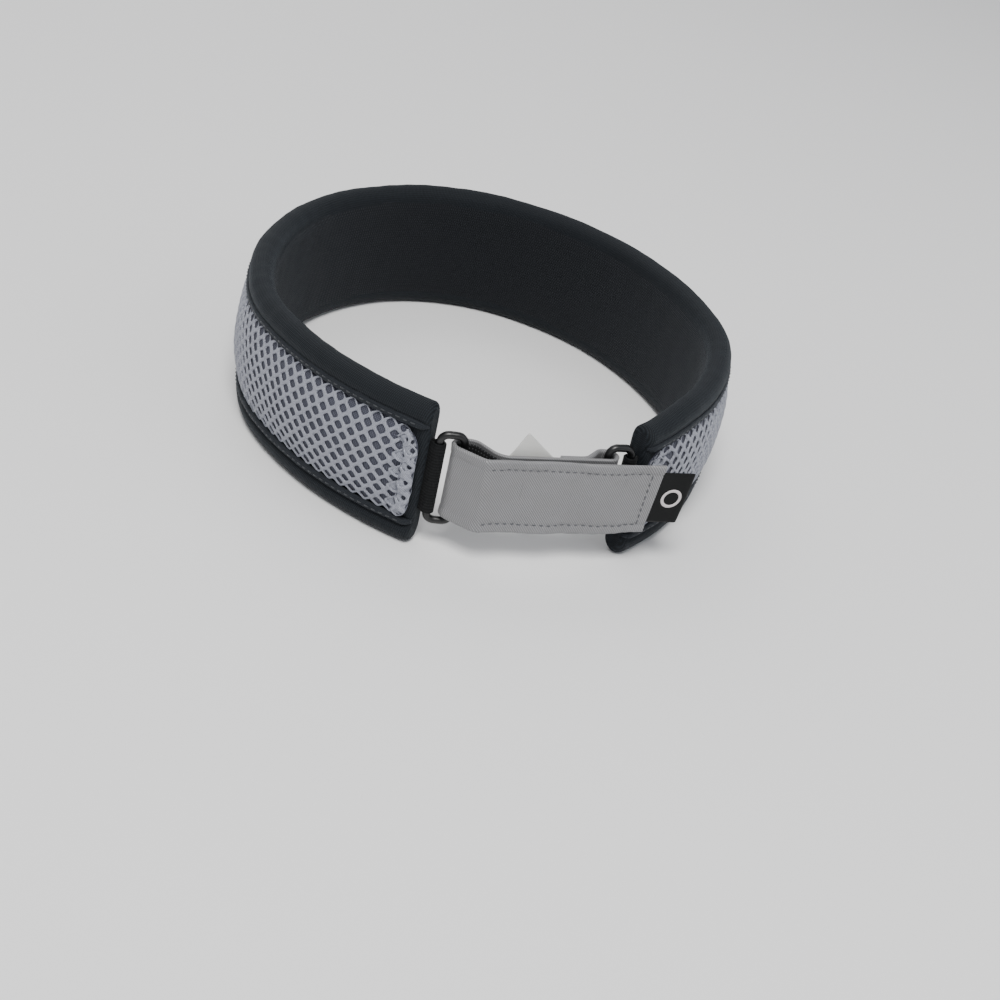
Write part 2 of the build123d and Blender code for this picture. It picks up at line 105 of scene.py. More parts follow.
def wobble(x, y, wavelength, seed, waves=7):
    """Smooth repeatable noise from -1 to 1 over two coordinates in metres."""
    random = np.random.default_rng(seed)
    total = np.zeros(np.broadcast(x, y).shape)
    for _ in range(waves):
        heading = random.uniform(0, TAU)
        length = wavelength * random.uniform(0.7, 1.6)
        phase = random.uniform(0, TAU)
        total = total + np.sin(TAU * (x * math.cos(heading) + y * math.sin(heading)) / length + phase)
    return total / math.sqrt(waves * 2.0)


# ---- the pad's plan line ------------------------------
HINGE_FROM_WIDEST = 88.22 * MM  # how far the ring hinges lie behind the widest place


def plan_arcs():
    """Arcs (start length, length, centre, radius, start angle) from the left rear end to the right one."""
    half = [REAR_ARC, EAR_ARC, TEMPLE_ARC, BROW_ARC]
    side = TEMPLE_ARC[1] + BROW_ARC[1]
    reach = TEMPLE_ARC[0] * (1 - cosd(TEMPLE_ARC[1])) + BROW_ARC[0] * (cosd(TEMPLE_ARC[1]) - cosd(side))
    forehead = ((HALF_WIDTH - reach) / cosd(side), 180.0 - 2 * side)
    rear_angle = REAR_ARC[1] + EAR_ARC[1]
    widest_y = joints["left_ring_swivel"]["pos_m"][1] - HINGE_FROM_WIDEST
    centre = np.array([HALF_WIDTH - EAR_ARC[0], widest_y])
    centre = centre + (EAR_ARC[0] - REAR_ARC[0]) * np.array([cosd(EAR_ARC[1]), sind(EAR_ARC[1])])
    arcs = []
    start, angle = 0.0, rear_angle
    turns = half + [forehead] + half[::-1]
    for index, (radius, turn) in enumerate(turns):
        length = radius * math.radians(turn)
        arcs.append((start, length, centre, radius, math.radians(angle)))
        start += length
        angle -= turn
        if index + 1 < len(turns):
            centre = centre + (radius - turns[index + 1][0]) * np.array([cosd(angle), sind(angle)])
    return arcs


PLAN = plan_arcs()
PAD_LENGTH = PLAN[-1][0] + PLAN[-1][1]
END_DROOP = 2.6 * MM  # how far the top of the pad's right end has sunk
DROOP_LENGTH = 30 * MM


def on_pad(s, outward, height):
    """Points s metres along the cover's outer face, moved outwards, at a height. Works on arrays."""
    s, outward, height = np.broadcast_arrays(np.asarray(s, float), outward, height)
    share = np.clip(height / PAD_HEIGHT, 0, 1)
    height = height - END_DROOP * smooth_step((s - PAD_LENGTH + DROOP_LENGTH) / DROOP_LENGTH) * share**2
    index = np.clip(np.searchsorted([a[0] for a in PLAN], s, side="right") - 1, 0, len(PLAN) - 1)
    start = np.array([a[0] for a in PLAN])[index]
    centre = np.array([a[2] for a in PLAN])[index]
    radius = np.array([a[3] for a in PLAN])[index]
    angle = np.array([a[4] for a in PLAN])[index] - (s - start) / radius
    reach = radius + outward
    x = centre[..., 0] + reach * np.cos(angle)
    y = centre[..., 1] + reach * np.sin(angle)
    return np.stack([x, y, height], -1)


# ---- mesh making ------------------------------
def make_object(name, verts, faces, uvs=None, smooth=True):
    """A mesh object from arrays. uvs holds one (u, v) in metres for each vertex, or for each face corner."""
    mesh = bpy.data.meshes.new(name)
    mesh.from_pydata([tuple(v) for v in verts], [], [tuple(f) for f in faces])
    if uvs is not None:
        layer = mesh.uv_layers.new(name="weave")
        loops = np.zeros(len(mesh.loops), np.int32)
        mesh.loops.foreach_get("vertex_index", loops)
        uvs = np.asarray(uvs, float)
        data = uvs[loops] if len(uvs) == len(verts) else uvs
        layer.data.foreach_set("uv", data.astype(np.float32).ravel())
    if smooth:
        mesh.polygons.foreach_set("use_smooth", [True] * len(mesh.polygons))
    mesh.update()
    obj = bpy.data.objects.new(name, mesh)
    bpy.context.scene.collection.objects.link(obj)
    return obj


def grid_faces(rows, columns, wrap=False, flip=False, first=0):
    """Quads of a rows by columns grid of vertices. wrap joins the last column to the first."""
    i, j = np.meshgrid(np.arange(rows - 1), np.arange(columns if wrap else columns - 1), indexing="ij")
    k = (j + 1) % columns
    quads = np.stack([i * columns + j, i * columns + k, (i + 1) * columns + k, (i + 1) * columns + j], -1)
    quads = quads.reshape(-1, 4) + first
    return quads[:, ::-1] if flip else quads


def tube_object(name, rings, uv=None, flip=False):
    """A closed tube from rings of points (n, m, 3). Each cap runs from its ring to the long middle line inside.

    uv gives (n, m + 1, 2) coordinates, so that the wrap has its own column.
    """
    n, m, _ = rings.shape
    verts = list(rings.reshape(-1, 3))
    faces = list(grid_faces(n, m, wrap=True, flip=flip))
    caps = []
    for row in (0, n - 1):
        first = len(verts)
        mean = rings[row].mean(0)
        axes = np.linalg.svd(rings[row] - mean, full_matrices=False)[2][:2]
        place = (rings[row] - mean) @ axes.T
        level = (place[:, 1].max() + place[:, 1].min()) / 2
        verts += [*rings[row], *(mean + place[:, :1] * axes[0] + level * axes[1])]
        for j in range(m):
            a, b = first + j, first + (j + 1) % m
            caps.append((b, a, a + m, b + m) if (row == 0) != flip else (a, b, b + m, a + m))
    obj = make_object(name, verts, faces + caps)
    for face in obj.data.polygons[len(faces):]:
        face.use_smooth = False
    if uv is None:
        return obj
    values = []
    for face in obj.data.polygons:
        for vertex in face.vertices:
            if face.index >= len(faces):
                x, y, z = verts[vertex]
                values.append((z, x + y))
                continue
            i, j = divmod(vertex, m)
            wraps = j == 0 and any(v % m == m - 1 for v in face.vertices)
            values.append(uv[i, m if wraps else j])
    layer = obj.data.uv_layers.new(name="weave")
    layer.data.foreach_set("uv", np.array(values, np.float32).ravel())
    return obj


def tube_uv(lengths, section):
    """Weave coordinates for tube_object: the length of each ring and the distance round its section."""
    steps = np.linalg.norm(np.diff(section, axis=0), axis=1)
    around = np.concatenate([[0], np.cumsum(steps)])
    around = np.append(around, around[-1] + np.linalg.norm(section[0] - section[-1]))
    return np.stack(np.meshgrid(lengths, around, indexing="ij"), -1)


def two_sided(name, front, back, uv, flip=False):
    """A thin closed sheet from two grids of points (rows, columns, 3), joined round the rim."""
    rows, columns, _ = front.shape
    shift = rows * columns
    faces = [*grid_faces(rows, columns, flip=flip), *grid_faces(rows, columns, flip=not flip, first=shift)]
    rim = [i * columns for i in range(rows)]
    rim += [(rows - 1) * columns + j for j in range(1, columns)]
    rim += [i * columns + columns - 1 for i in range(rows - 2, -1, -1)]
    rim += list(range(columns - 2, 0, -1))
    for a, b in zip(rim, rim[1:] + rim[:1]):
        faces.append((b, a, a + shift, b + shift) if flip else (a, b, b + shift, a + shift))
    verts = np.concatenate([front.reshape(-1, 3), back.reshape(-1, 3)])
    return make_object(name, verts, faces, np.concatenate([uv.reshape(-1, 2)] * 2))


def torus_faces(rows, columns, flip=False):
    """Quads of a grid of vertices that wraps both ways."""
    last = (rows - 1) * columns
    quads = list(grid_faces(rows, columns, wrap=True))
    quads += [(last + q, last + (q + 1) % columns, (q + 1) % columns, q) for q in range(columns)]
    return [quad[::-1] for quad in quads] if flip else quads


def closed_curve(points, count):
    """A smooth closed Catmull-Rom loop through (x, y) points, resampled evenly to count points."""
    p = np.asarray(points, float)
    n = len(p)
    dense = []
    for i in range(n):
        a, b, c, d = p[(i - 1) % n], p[i], p[(i + 1) % n], p[(i + 2) % n]
        for t in np.linspace(0, 1, 16, endpoint=False):
            dense.append(
                0.5 * (2 * b + (c - a) * t + (2 * a - 5 * b + 4 * c - d) * t**2 + (3 * b - a - 3 * c + d) * t**3)
            )
    dense = np.array(dense + [dense[0]])
    step = np.linalg.norm(np.diff(dense, axis=0), axis=1)
    length = np.concatenate([[0], np.cumsum(step)])
    at = np.linspace(0, length[-1], count, endpoint=False)
    return np.stack([np.interp(at, length, dense[:, k]) for k in (0, 1)], -1), at, length[-1]


def stitch_row(name, centres, along, out, length, radius):
    """Separate stitches: each is a short rounded bar that dips into the cloth at both ends."""
    sides, stations = 6, 5
    t = np.linspace(-0.5, 0.5, stations)
    lift = radius * (0.55 - 5.2 * t**2)
    thick = radius * np.sqrt(np.clip(1 - (2 * t) ** 2 * 0.72, 0, 1))
    verts, faces = [], []
    for centre, a, o in zip(centres, along, out):
        a = a / np.linalg.norm(a)
        o = o - a * (o @ a)
        o = o / np.linalg.norm(o)
        side = np.cross(a, o)
        first = len(verts)
        for k in range(stations):
            hub = centre + a * t[k] * length + o * lift[k]
            for q in range(sides):
                turn = TAU * q / sides
                verts.append(hub + thick[k] * (side * math.cos(turn) + o * math.sin(turn)))
        faces += list(grid_faces(stations, sides, wrap=True, first=first))
        faces.append(tuple(first + q for q in range(sides))[::-1])
        faces.append(tuple(first + (stations - 1) * sides + q for q in range(sides)))
    return make_object(name, verts, faces)


# ---- materials ------------------------------
class Shade:
    """A small node-tree builder round one Principled shader."""

    def __init__(self, name, tint=None, **sockets):
        self.material = bpy.data.materials.new(name)
        self.material.use_nodes = True
        self.tree = self.material.node_tree
        self.shader = self.tree.nodes["Principled BSDF"]
        for key, value in sockets.items():
            self.shader.inputs[key.replace("_", " ")].default_value = value
        if tint:
            self.shader.inputs["Sheen Tint"].default_value = (*tint, 1.0)

    def node(self, kind, **settings):
        made = self.tree.nodes.new(kind)
        for key, value in settings.items():
            if hasattr(made, key):
                setattr(made, key, value)
            else:
                made.inputs[key].default_value = value
        return made

    def link(self, a, b):
        self.tree.links.new(a, b)

    def math(self, operation, a, b=None):
        made = self.node("ShaderNodeMath", operation=operation)
        for index, value in enumerate((a, b)):
            if value is None:
                continue
            if isinstance(value, (int, float)):
                made.inputs[index].default_value = value
            else:
                self.link(value, made.inputs[index])
        return made.outputs[0]

    def uv(self):
        """The weave coordinates, in millimetres, as (along, across) sockets."""
        source = self.node("ShaderNodeUVMap", uv_map="weave")
        split = self.node("ShaderNodeSeparateXYZ")
        self.link(source.outputs["UV"], split.inputs[0])
        return self.math("MULTIPLY", split.outputs[0], 1000.0), self.math("MULTIPLY", split.outputs[1], 1000.0)

    def stripes(self, along, across, period, slope):
        """A wave from 0 to 1 whose ridges lean by slope."""
        lean = self.math("ADD", along, self.math("MULTIPLY", across, slope))
        turn = self.math("MULTIPLY", lean, TAU / period)
        return self.math("ADD", self.math("MULTIPLY", self.math("SINE", turn), 0.5), 0.5)

    def grid(self, along, across, period_along, period_across):
        """Dots where stripes both ways meet."""
        warp = self.stripes(along, across, period_along, 0.0)
        return self.math("MULTIPLY", warp, self.stripes(across, along, period_across, 0.0))

    def sum(self, a, a_share, b, b_share):
        return self.math("ADD", self.math("MULTIPLY", a, a_share), self.math("MULTIPLY", b, b_share))

    def noise(self, scale, detail=2.0, roughness=0.5, seed=0.0):
        """Noise over the object's own space, with scale in features per metre."""
        place = self.node("ShaderNodeTexCoord")
        made = self.node("ShaderNodeTexNoise", noise_dimensions="4D")
        made.inputs["Scale"].default_value = scale
        made.inputs["Detail"].default_value = detail
        made.inputs["Roughness"].default_value = roughness
        made.inputs["W"].default_value = seed
        self.link(place.outputs["Object"], made.inputs["Vector"])
        return made.outputs["Fac"]

    def ramp(self, factor, stops):
        made = self.node("ShaderNodeValToRGB")
        elements = made.color_ramp.elements
        while len(elements) < len(stops):
            elements.new(0.5)
        for element, (place, colour) in zip(elements, stops):
            element.position = place
            element.color = (*colour, 1.0)
        self.link(factor, made.inputs[0])
        return made.outputs[0]

    def mix(self, factor, a, b):
        made = self.node("ShaderNodeMix", data_type="RGBA")
        if isinstance(factor, (int, float)):
            made.inputs[0].default_value = factor
        else:
            self.link(factor, made.inputs[0])
        for socket, value in ((made.inputs[6], a), (made.inputs[7], b)):
            if isinstance(value, tuple):
                socket.default_value = (*value, 1.0)
            else:
                self.link(value, socket)
        return made.outputs[2]

    def colour(self, source):
        self.link(source, self.shader.inputs["Base Color"])

    def roughness(self, factor, low, high):
        made = self.node("ShaderNodeMapRange")
        self.link(factor, made.inputs["Value"])
        made.inputs["To Min"].default_value = low
        made.inputs["To Max"].default_value = high
        self.link(made.outputs[0], self.shader.inputs["Roughness"])

    def bump(self, *layers):
        """layers are (height socket, depth in metres), laid on each other."""
        normal = None
        for height, depth in layers:
            made = self.node("ShaderNodeBump")
            made.inputs["Distance"].default_value = depth
            made.inputs["Strength"].default_value = 1.0
            self.link(height, made.inputs["Height"])
            if normal is not None:
                self.link(normal, made.inputs["Normal"])
            normal = made.outputs["Normal"]
        self.link(normal, self.shader.inputs["Normal"])


def knit_black():
    """The padded cover: ribbed black knit, with painted shade in the rib grooves and a painted slate sheen on the
    ridges.
    """
    s = Shade("cover_knit", (0.62, 0.70, 0.80), Sheen_Weight=0.06, Sheen_Roughness=0.4, Specular_IOR_Level=0.22)
    along, across = s.uv()
    rib = s.stripes(along, across, 0.72, 0.22)
    course = s.stripes(across, along, 0.9, 0.0)
    grain = s.noise(1400.0, 3.0, 0.6)
    patch = s.noise(90.0, 2.0, 0.5, 3.0)
    weave = s.math("MULTIPLY", rib, s.math("ADD", s.math("MULTIPLY", course, 0.35), 0.65))
    # groove is painted shade and ridge a painted slate sheen; face is the knit's own black
    groove, face, ridge = (0.0020, 0.0026, 0.0036), (0.0062, 0.0080, 0.0104), (0.0180, 0.0226, 0.0280)
    tone = s.ramp(weave, [(0.0, groove), (0.55, face), (1.0, ridge)])
    s.colour(s.mix(s.math("MULTIPLY", patch, 0.35), tone, (0.0110, 0.0150, 0.0195)))
    s.roughness(grain, 0.62, 0.9)
    s.bump((weave, 0.00012), (grain, 0.00007))
    return s.material


def liner_black():
    s = Shade("liner_fabric", (0.5, 0.55, 0.62), Sheen_Weight=0.10, Sheen_Roughness=0.5, Specular_IOR_Level=0.2)
    along, across = s.uv()
    loops = s.math("MULTIPLY", s.stripes(along, across, 1.1, 0.5), s.stripes(along, across, 1.1, -0.5))
    pile = s.noise(2200.0, 4.0, 0.7)
    s.colour(s.ramp(s.sum(loops, 0.6, pile, 0.4), [(0.1, (0.003, 0.0036, 0.0046)), (0.8, (0.016, 0.018, 0.022))]))
    s.roughness(pile, 0.75, 0.95)
    s.bump((loops, 0.00018), (pile, 0.00012))
    return s.material


def piping_fabric():
    s = Shade("piping_black", (0.62, 0.68, 0.76), Sheen_Weight=0.12, Sheen_Roughness=0.4, Specular_IOR_Level=0.2)
    along, across = s.uv()
    fuzz = s.noise(1800.0, 5.0, 0.75)
    mixed = s.sum(s.stripes(along, across, 0.8, 0.9), 0.35, fuzz, 0.65)
    s.colour(s.ramp(mixed, [(0.2, (0.0040, 0.0050, 0.0070)), (0.85, (0.026, 0.030, 0.036))]))
    s.roughness(fuzz, 0.7, 0.95)
    s.bump((mixed, 0.00022))
    return s.material


def mesh_threads():
    """The air mesh's yarn: bright filament with fine streaks."""
    s = Shade("mesh_silver", (0.85, 0.9, 1.0), Sheen_Weight=0.12, Sheen_Roughness=0.3, Specular_IOR_Level=0.55)
    along, across = s.uv()
    fibre = s.noise(2600.0, 4.0, 0.7)
    yarn = s.math("MAXIMUM", s.stripes(along, across, 0.42, 0.6), s.stripes(along, across, 0.42, -0.6))
    blend = s.sum(yarn, 0.5, fibre, 0.5)
    tone = [(0.15, (0.080, 0.084, 0.108)), (0.55, (0.205, 0.212, 0.25)), (0.9, (0.46, 0.48, 0.55))]
    s.colour(s.ramp(blend, tone))
    s.roughness(fibre, 0.30, 0.60)
    s.bump((blend, 0.00018))
    return s.material


def mesh_ground():
    s = Shade("mesh_ground", Sheen_Weight=0.1, Specular_IOR_Level=0.25)
    fibre = s.noise(1900.0, 3.0, 0.6)
    both = s.sum(s.grid(*s.uv(), 0.7, 0.55), 0.6, fibre, 0.4)
    s.colour(s.ramp(both, [(0.1, (0.035, 0.037, 0.052)), (0.9, (0.135, 0.14, 0.18))]))
    s.roughness(fibre, 0.6, 0.9)
    s.bump((both, 0.00015))
    return s.material


def strap_twill():
    """Silver-grey twill with a satin sheen."""
    s = Shade("strap_silver", Sheen_Weight=0.10, Sheen_Roughness=0.3, Specular_IOR_Level=0.6)
    along, across = s.uv()
    twill = s.sum(s.stripes(along, across, 0.85, 0.75), 0.7, s.stripes(along, across, 0.55, -0.4), 0.3)
    fibre = s.noise(2400.0, 3.0, 0.6)
    patch = s.noise(120.0, 2.0, 0.5, 5.0)
    groove, face, ridge = (0.085, 0.086, 0.092), (0.185, 0.186, 0.195), (0.33, 0.33, 0.342)
    tone = s.ramp(twill, [(0.0, groove), (0.6, face), (1.0, ridge)])
    s.colour(s.mix(s.math("MULTIPLY", patch, 0.55), tone, (0.150, 0.148, 0.144)))
    s.roughness(fibre, 0.32, 0.52)
    s.bump((twill, 0.00008), (fibre, 0.00003))
    return s.material


def hook_loop():
    """Black hook-and-loop tape: soft pile with small light dots."""
    s = Shade("hook_loop_black", Sheen_Weight=0.08, Specular_IOR_Level=0.2)
    pile = s.noise(2600.0, 4.0, 0.75)
    sharp = s.math("POWER", s.grid(*s.uv(), 1.3, 1.3), 7.0)
    tone = s.ramp(pile, [(0.2, (0.002, 0.002, 0.0025)), (0.9, (0.010, 0.0105, 0.012))])
    s.colour(s.mix(sharp, tone, (0.20, 0.205, 0.22)))
    s.roughness(pile, 0.5, 0.9)
    s.bump((sharp, 0.00030), (pile, 0.00015))
    return s.material


def webbing_black():
    s = Shade("webbing_black", Sheen_Weight=0.04, Specular_IOR_Level=0.15)
    along, across = s.uv()
    rib = s.stripes(across, along, 1.1, 0.0)
    pick = s.stripes(along, across, 0.7, 0.0)
    weave = s.math("MULTIPLY", rib, s.math("ADD", s.math("MULTIPLY", pick, 0.5), 0.5))
    fibre = s.noise(2200.0, 3.0, 0.6)
    s.colour(s.ramp(weave, [(0.0, (0.0015, 0.0017, 0.002)), (1.0, (0.0065, 0.007, 0.008))]))
    s.roughness(fibre, 0.55, 0.85)
    s.bump((weave, 0.00009), (fibre, 0.00005))
    return s.material


def grained(name, wear, stops, roughness, grain, depth, **sockets):
    """A plain moulded, coated or spun surface. wear and grain are noise settings; they may be the same."""
    s = Shade(name, **sockets)
    worn = s.noise(*wear)
    s.colour(s.ramp(worn, stops))
    s.roughness(worn, *roughness)
    s.bump((worn if grain == wear else s.noise(*grain), depth))
    return s.material


def thread(name, dark, light):
    twist = (4200.0, 2.0, 0.6)
    stops = [(0.3, dark), (0.75, light)]
    return grained(name, twist, stops, (0.4, 0.7), twist, 0.00006, Sheen_Weight=0.2, Specular_IOR_Level=0.4)


def label_satin():
    s = Shade("label_white", Sheen_Weight=0.15, Specular_IOR_Level=0.5)
    weave = s.grid(*s.uv(), 0.36, 0.30)
    cloud = s.noise(300.0, 3.0, 0.6)
    tone = s.ramp(weave, [(0.0, (0.50, 0.50, 0.48)), (1.0, (0.74, 0.74, 0.72))])
    s.colour(s.mix(s.math("MULTIPLY", cloud, 0.25), tone, (0.60, 0.59, 0.56)))
    s.roughness(cloud, 0.35, 0.55)
    s.bump((weave, 0.00004))
    return s.material


MARK_GRAIN = (2400.0, 3.0, 0.6)
METAL_GRAIN = (900.0, 4.0, 0.6)
MATERIALS = {
    "cover_knit": knit_black(),
    "liner_fabric": liner_black(),
    "piping_black": piping_fabric(),
    "mesh_silver": mesh_threads(),
    "mesh_ground": mesh_ground(),
    "strap_silver": strap_twill(),
    "hook_loop_black": hook_loop(),
    "webbing_black": webbing_black(),
    "ring_plastic": grained(
        "ring_plastic", (260.0, 4.0, 0.6, 2.0), [(0.35, (0.0026, 0.0027, 0.003)), (0.75, (0.0075, 0.0078, 0.0082))],
        (0.24, 0.46), (2500.0, 3.0, 0.55), 0.00002, Specular_IOR_Level=0.5,
    ),
    "tab_black": grained(
        "tab_black", (180.0, 3.0, 0.6, 4.0), [(0.3, (0.0025, 0.0028, 0.003)), (0.8, (0.0065, 0.007, 0.0072))],
        (0.5, 0.72), (3200.0, 2.0, 0.5), 0.00004, Specular_IOR_Level=0.18,
    ),
    "mark_grey": grained(
        "mark_grey", MARK_GRAIN, [(0.2, (0.50, 0.46, 0.46)), (0.8, (0.62, 0.58, 0.58))],
        (0.45, 0.65), MARK_GRAIN, 0.00004, Specular_IOR_Level=0.4,
    ),
    "label_white": label_satin(),
    "thread_black": thread("thread_black", (0.008, 0.009, 0.011), (0.045, 0.050, 0.058)),
    "thread_grey": thread("thread_grey", (0.030, 0.031, 0.036), (0.11, 0.115, 0.125)),
    "anchor_rubber": grained(
        "anchor_rubber", (150.0, 3.0, 0.6, 6.0), [(0.3, (0.010, 0.011, 0.012)), (0.8, (0.024, 0.025, 0.027))],
        (0.42, 0.66), (2600.0, 3.0, 0.6), 0.00005, Specular_IOR_Level=0.4,
    ),
    "eyelet_metal": grained(
        "eyelet_metal", METAL_GRAIN, [(0.3, (0.10, 0.10, 0.11)), (0.8, (0.22, 0.22, 0.235))],
        (0.25, 0.42), METAL_GRAIN, 0.00001, Metallic=1.0,
    ),
}


def dress(obj, slot, body, *nodes):
    """Gives a piece its material and body, and hides the CAD nodes that it stands for."""
    obj.data.materials.clear()
    obj.data.materials.append(MATERIALS[slot])
    if body:
        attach(obj, body)
    if nodes:
        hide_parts(*nodes)
    return obj


# ---- padded cover ------------------------------
def cover_section():
    """The cover's section as (outwards, height) in metres: two soft rolls with a seam groove beside each."""
    t = PAD_THICKNESS / MM
    h = PAD_HEIGHT / MM
    lower = [
        (-t, 13.0), (-t - 0.05, 6.5), (-t + 0.35, 3.2), (-7.0, 1.0), (-4.6, 0.05), (-2.2, 0.55),
        (-0.3, 2.3), (0.45, 4.5), (0.1, 6.4), (-1.1, 7.4), (-1.3, 8.4), (-0.9, 9.8), (-0.8, 14.0),
    ]
    upper = [(u, h - z) for u, z in lower[::-1]]
    return np.array(lower + upper) * MM


def make_cover():
    section, around, girth = closed_curve(cover_section(), 84)
    stations = np.linspace(0, PAD_LENGTH, 420)
    corner = 2.2 * MM  # rounding of the sewn ends
    middle = stations[(stations > corner) & (stations < PAD_LENGTH - corner)]
    turn = np.linspace(0, math.pi / 2, 6)
    end_places, end_insets = corner * (1 - np.cos(turn)), corner * (1 - np.sin(turn))
    places = np.concatenate([end_places, middle, PAD_LENGTH - end_places[::-1]])
    insets = np.concatenate([end_insets, np.zeros(len(middle)), end_insets[::-1]])
    centre = np.array([-PAD_THICKNESS / 2, PAD_HEIGHT / 2])
    lean = section - centre
    direction = lean / np.linalg.norm(lean, axis=1)[:, None]
    rings = []
    for place, inset in zip(places, insets):
        outward, height = (centre + lean * (1 - inset / np.abs(lean).max(0))).T
        from_top, from_bottom = (height - PAD_HEIGHT + 4 * MM) / (5 * MM), (height - 4 * MM) / (5 * MM)
        roll = np.clip(np.exp(-(from_top**2)) + np.exp(-(from_bottom**2)), 0, 1)
        puff = 0.28 * MM * wobble(place, height, 42 * MM, 11) + 0.13 * MM * wobble(place, height * 0.4, 8 * MM, 12)
        push = puff * roll * (1 if inset == 0 else 0.4)
        rise = push * direction[:, 1] * np.where(height < PAD_HEIGHT / 2, 0.25, 1.0)
        rings.append(on_pad(place, outward + push * direction[:, 0], height + rise))
    uv = np.stack(np.meshgrid(places, np.append(around, girth), indexing="ij"), -1)
    obj = tube_object("padded_cover", np.array(rings), uv)
    dress(obj, "cover_knit", "band", "outer_shell", "foam_core")


def make_liner():
    """The lining against the head, quilted between its seams."""
    place = np.linspace(4.5 * MM, PAD_LENGTH - 4.5 * MM, 300)
    height = np.linspace(4.8 * MM, PAD_HEIGHT - 4.8 * MM, 26)
    s, z = np.meshgrid(place, height, indexing="ij")
    edge = np.minimum(z - height[0], height[-1] - z)
    end = np.minimum(s - place[0], place[-1] - s)
    rise = 0.9 * MM * smooth_step(edge / (4 * MM)) * smooth_step(end / (4 * MM))
    rise = rise + 0.10 * MM * wobble(s, z, 16 * MM, 21) * smooth_step(edge / (3 * MM))
    front = on_pad(s, -PAD_THICKNESS - rise + 0.25 * MM, z)
    back = on_pad(s, -PAD_THICKNESS + 0.6 * MM, z)
    obj = two_sided("liner", front, back, np.stack([s, z], -1))
    dress(obj, "liner_fabric", "band", "inner_liner")


def pad_cord(name, height, seed, slot, *nodes):
    """A soft binding that runs round the pad at one height, its ends tucked in."""
    outward, radius_u, radius_z, sides = 0.1 * MM, 0.85 * MM, 1.35 * MM, 14
    stations = np.linspace(0.4 * MM, PAD_LENGTH - 0.4 * MM, 440)
    turn = np.linspace(0, TAU, sides, endpoint=False)
    across = np.sign(np.cos(turn)) * np.abs(np.cos(turn)) ** 0.8
    up = np.sign(np.sin(turn)) * np.abs(np.sin(turn)) ** 0.8
    rings = []
    for place in stations:
        waver = 0.14 * MM * wobble(place, 0.0, 11 * MM, seed) + 0.10 * MM * wobble(place, 0.0, 4 * MM, seed + 1)
        inside = min(place, PAD_LENGTH - place)
        end = 0.55 + 0.45 * min(1.0, inside / (3 * MM))
        tucked = 2.2 * MM * (1 - min(1.0, inside / (2.6 * MM))) ** 2
        u = outward - tucked + radius_u * end * across
        rings.append(on_pad(place, u, height + waver + (radius_z * end + waver * 0.3) * up))
    uv = np.stack(np.meshgrid(stations, np.linspace(0, TAU * radius_z, sides + 1), indexing="ij"), -1)
    return dress(tube_object(name, np.array(rings), uv, flip=True), slot, "band", *nodes)


def pad_stitches(name, height, outward, seed, *nodes):
    pitch = 2.9 * MM
    count = int((PAD_LENGTH - 8 * MM) / pitch)
    place = 4 * MM + pitch * (np.arange(count) + 0.5)
    random = np.random.default_rng(seed)
    z = height + random.normal(0, 0.06 * MM, count)
    centre = on_pad(place, outward, z)
    along = on_pad(place + MM, outward, z + random.normal(0, 0.03 * MM, count)) - centre
    out = on_pad(place, outward + MM, z) - centre
    obj = stitch_row(name, centre, along, out, 2.2 * MM, 0.26 * MM)
    return dress(obj, "thread_black", "band", *nodes)


# ---- mesh panel ------------------------------
NET_PITCH = 5.4 * MM  # between holes along the pad
NET_ROW = 3.03 * MM  # between rows of holes, each shifted by half a pitch
NET_NODE = 0.9 * MM  # height of the short upright strands, where two zigzag strands are knitted together
NET_HALF_STRAND = 0.46 * MM
HOLE_REACH = 1.95 * MM
TOP_CORNER = 10.0 * MM  # rounding of the panel's rear ends
BOTTOM_CORNER = 5.0 * MM


def panel_clamp(s, t):
    """Moves points outside the panel's round-cornered outline onto it. t is height from the panel's middle."""
    x = s - PAD_LENGTH / 2
    corner = np.where(t > 0, TOP_CORNER, BOTTOM_CORNER)
    half_x = PAD_LENGTH / 2 - MESH_END
    inner_x, inner_t = half_x - corner, MESH_HALF - corner
    ax, at = np.abs(x), np.abs(t)
    dx, dt = np.maximum(ax - inner_x, 0), np.maximum(at - inner_t, 0)
    reach = np.hypot(dx, dt)
    over = (dx > 0) & (dt > 0) & (reach > corner)
    share = np.where(over, corner / np.maximum(reach, 1e-9), 1.0)
    nx = np.where(over, inner_x + dx * share, np.minimum(ax, half_x))
    nt = np.where(over, inner_t + dt * share, np.minimum(at, MESH_HALF))
    return PAD_LENGTH / 2 + np.sign(x) * nx, np.sign(t) * nt


def panel_edge(s, t):
    """Distance inside the panel's outline."""
    corner = np.where(t > 0, TOP_CORNER, BOTTOM_CORNER)
    dx = np.abs(s - PAD_LENGTH / 2) - (PAD_LENGTH / 2 - MESH_END - corner)
    dt = np.abs(t) - (MESH_HALF - corner)
    return corner - np.hypot(np.maximum(dx, 0), np.maximum(dt, 0)) - np.minimum(np.maximum(dx, dt), 0)


def panel_end(s, t):
    """Distance to the panel's rear end, which follows its rounded corners."""
    corner = np.where(t > 0, TOP_CORNER, BOTTOM_CORNER)
    dx = np.abs(s - PAD_LENGTH / 2) - (PAD_LENGTH / 2 - MESH_END - corner)
    dt = np.maximum(np.abs(t) - (MESH_HALF - corner), 0)
    return np.where(dx > 0, corner - np.hypot(dx, dt), corner - dx)


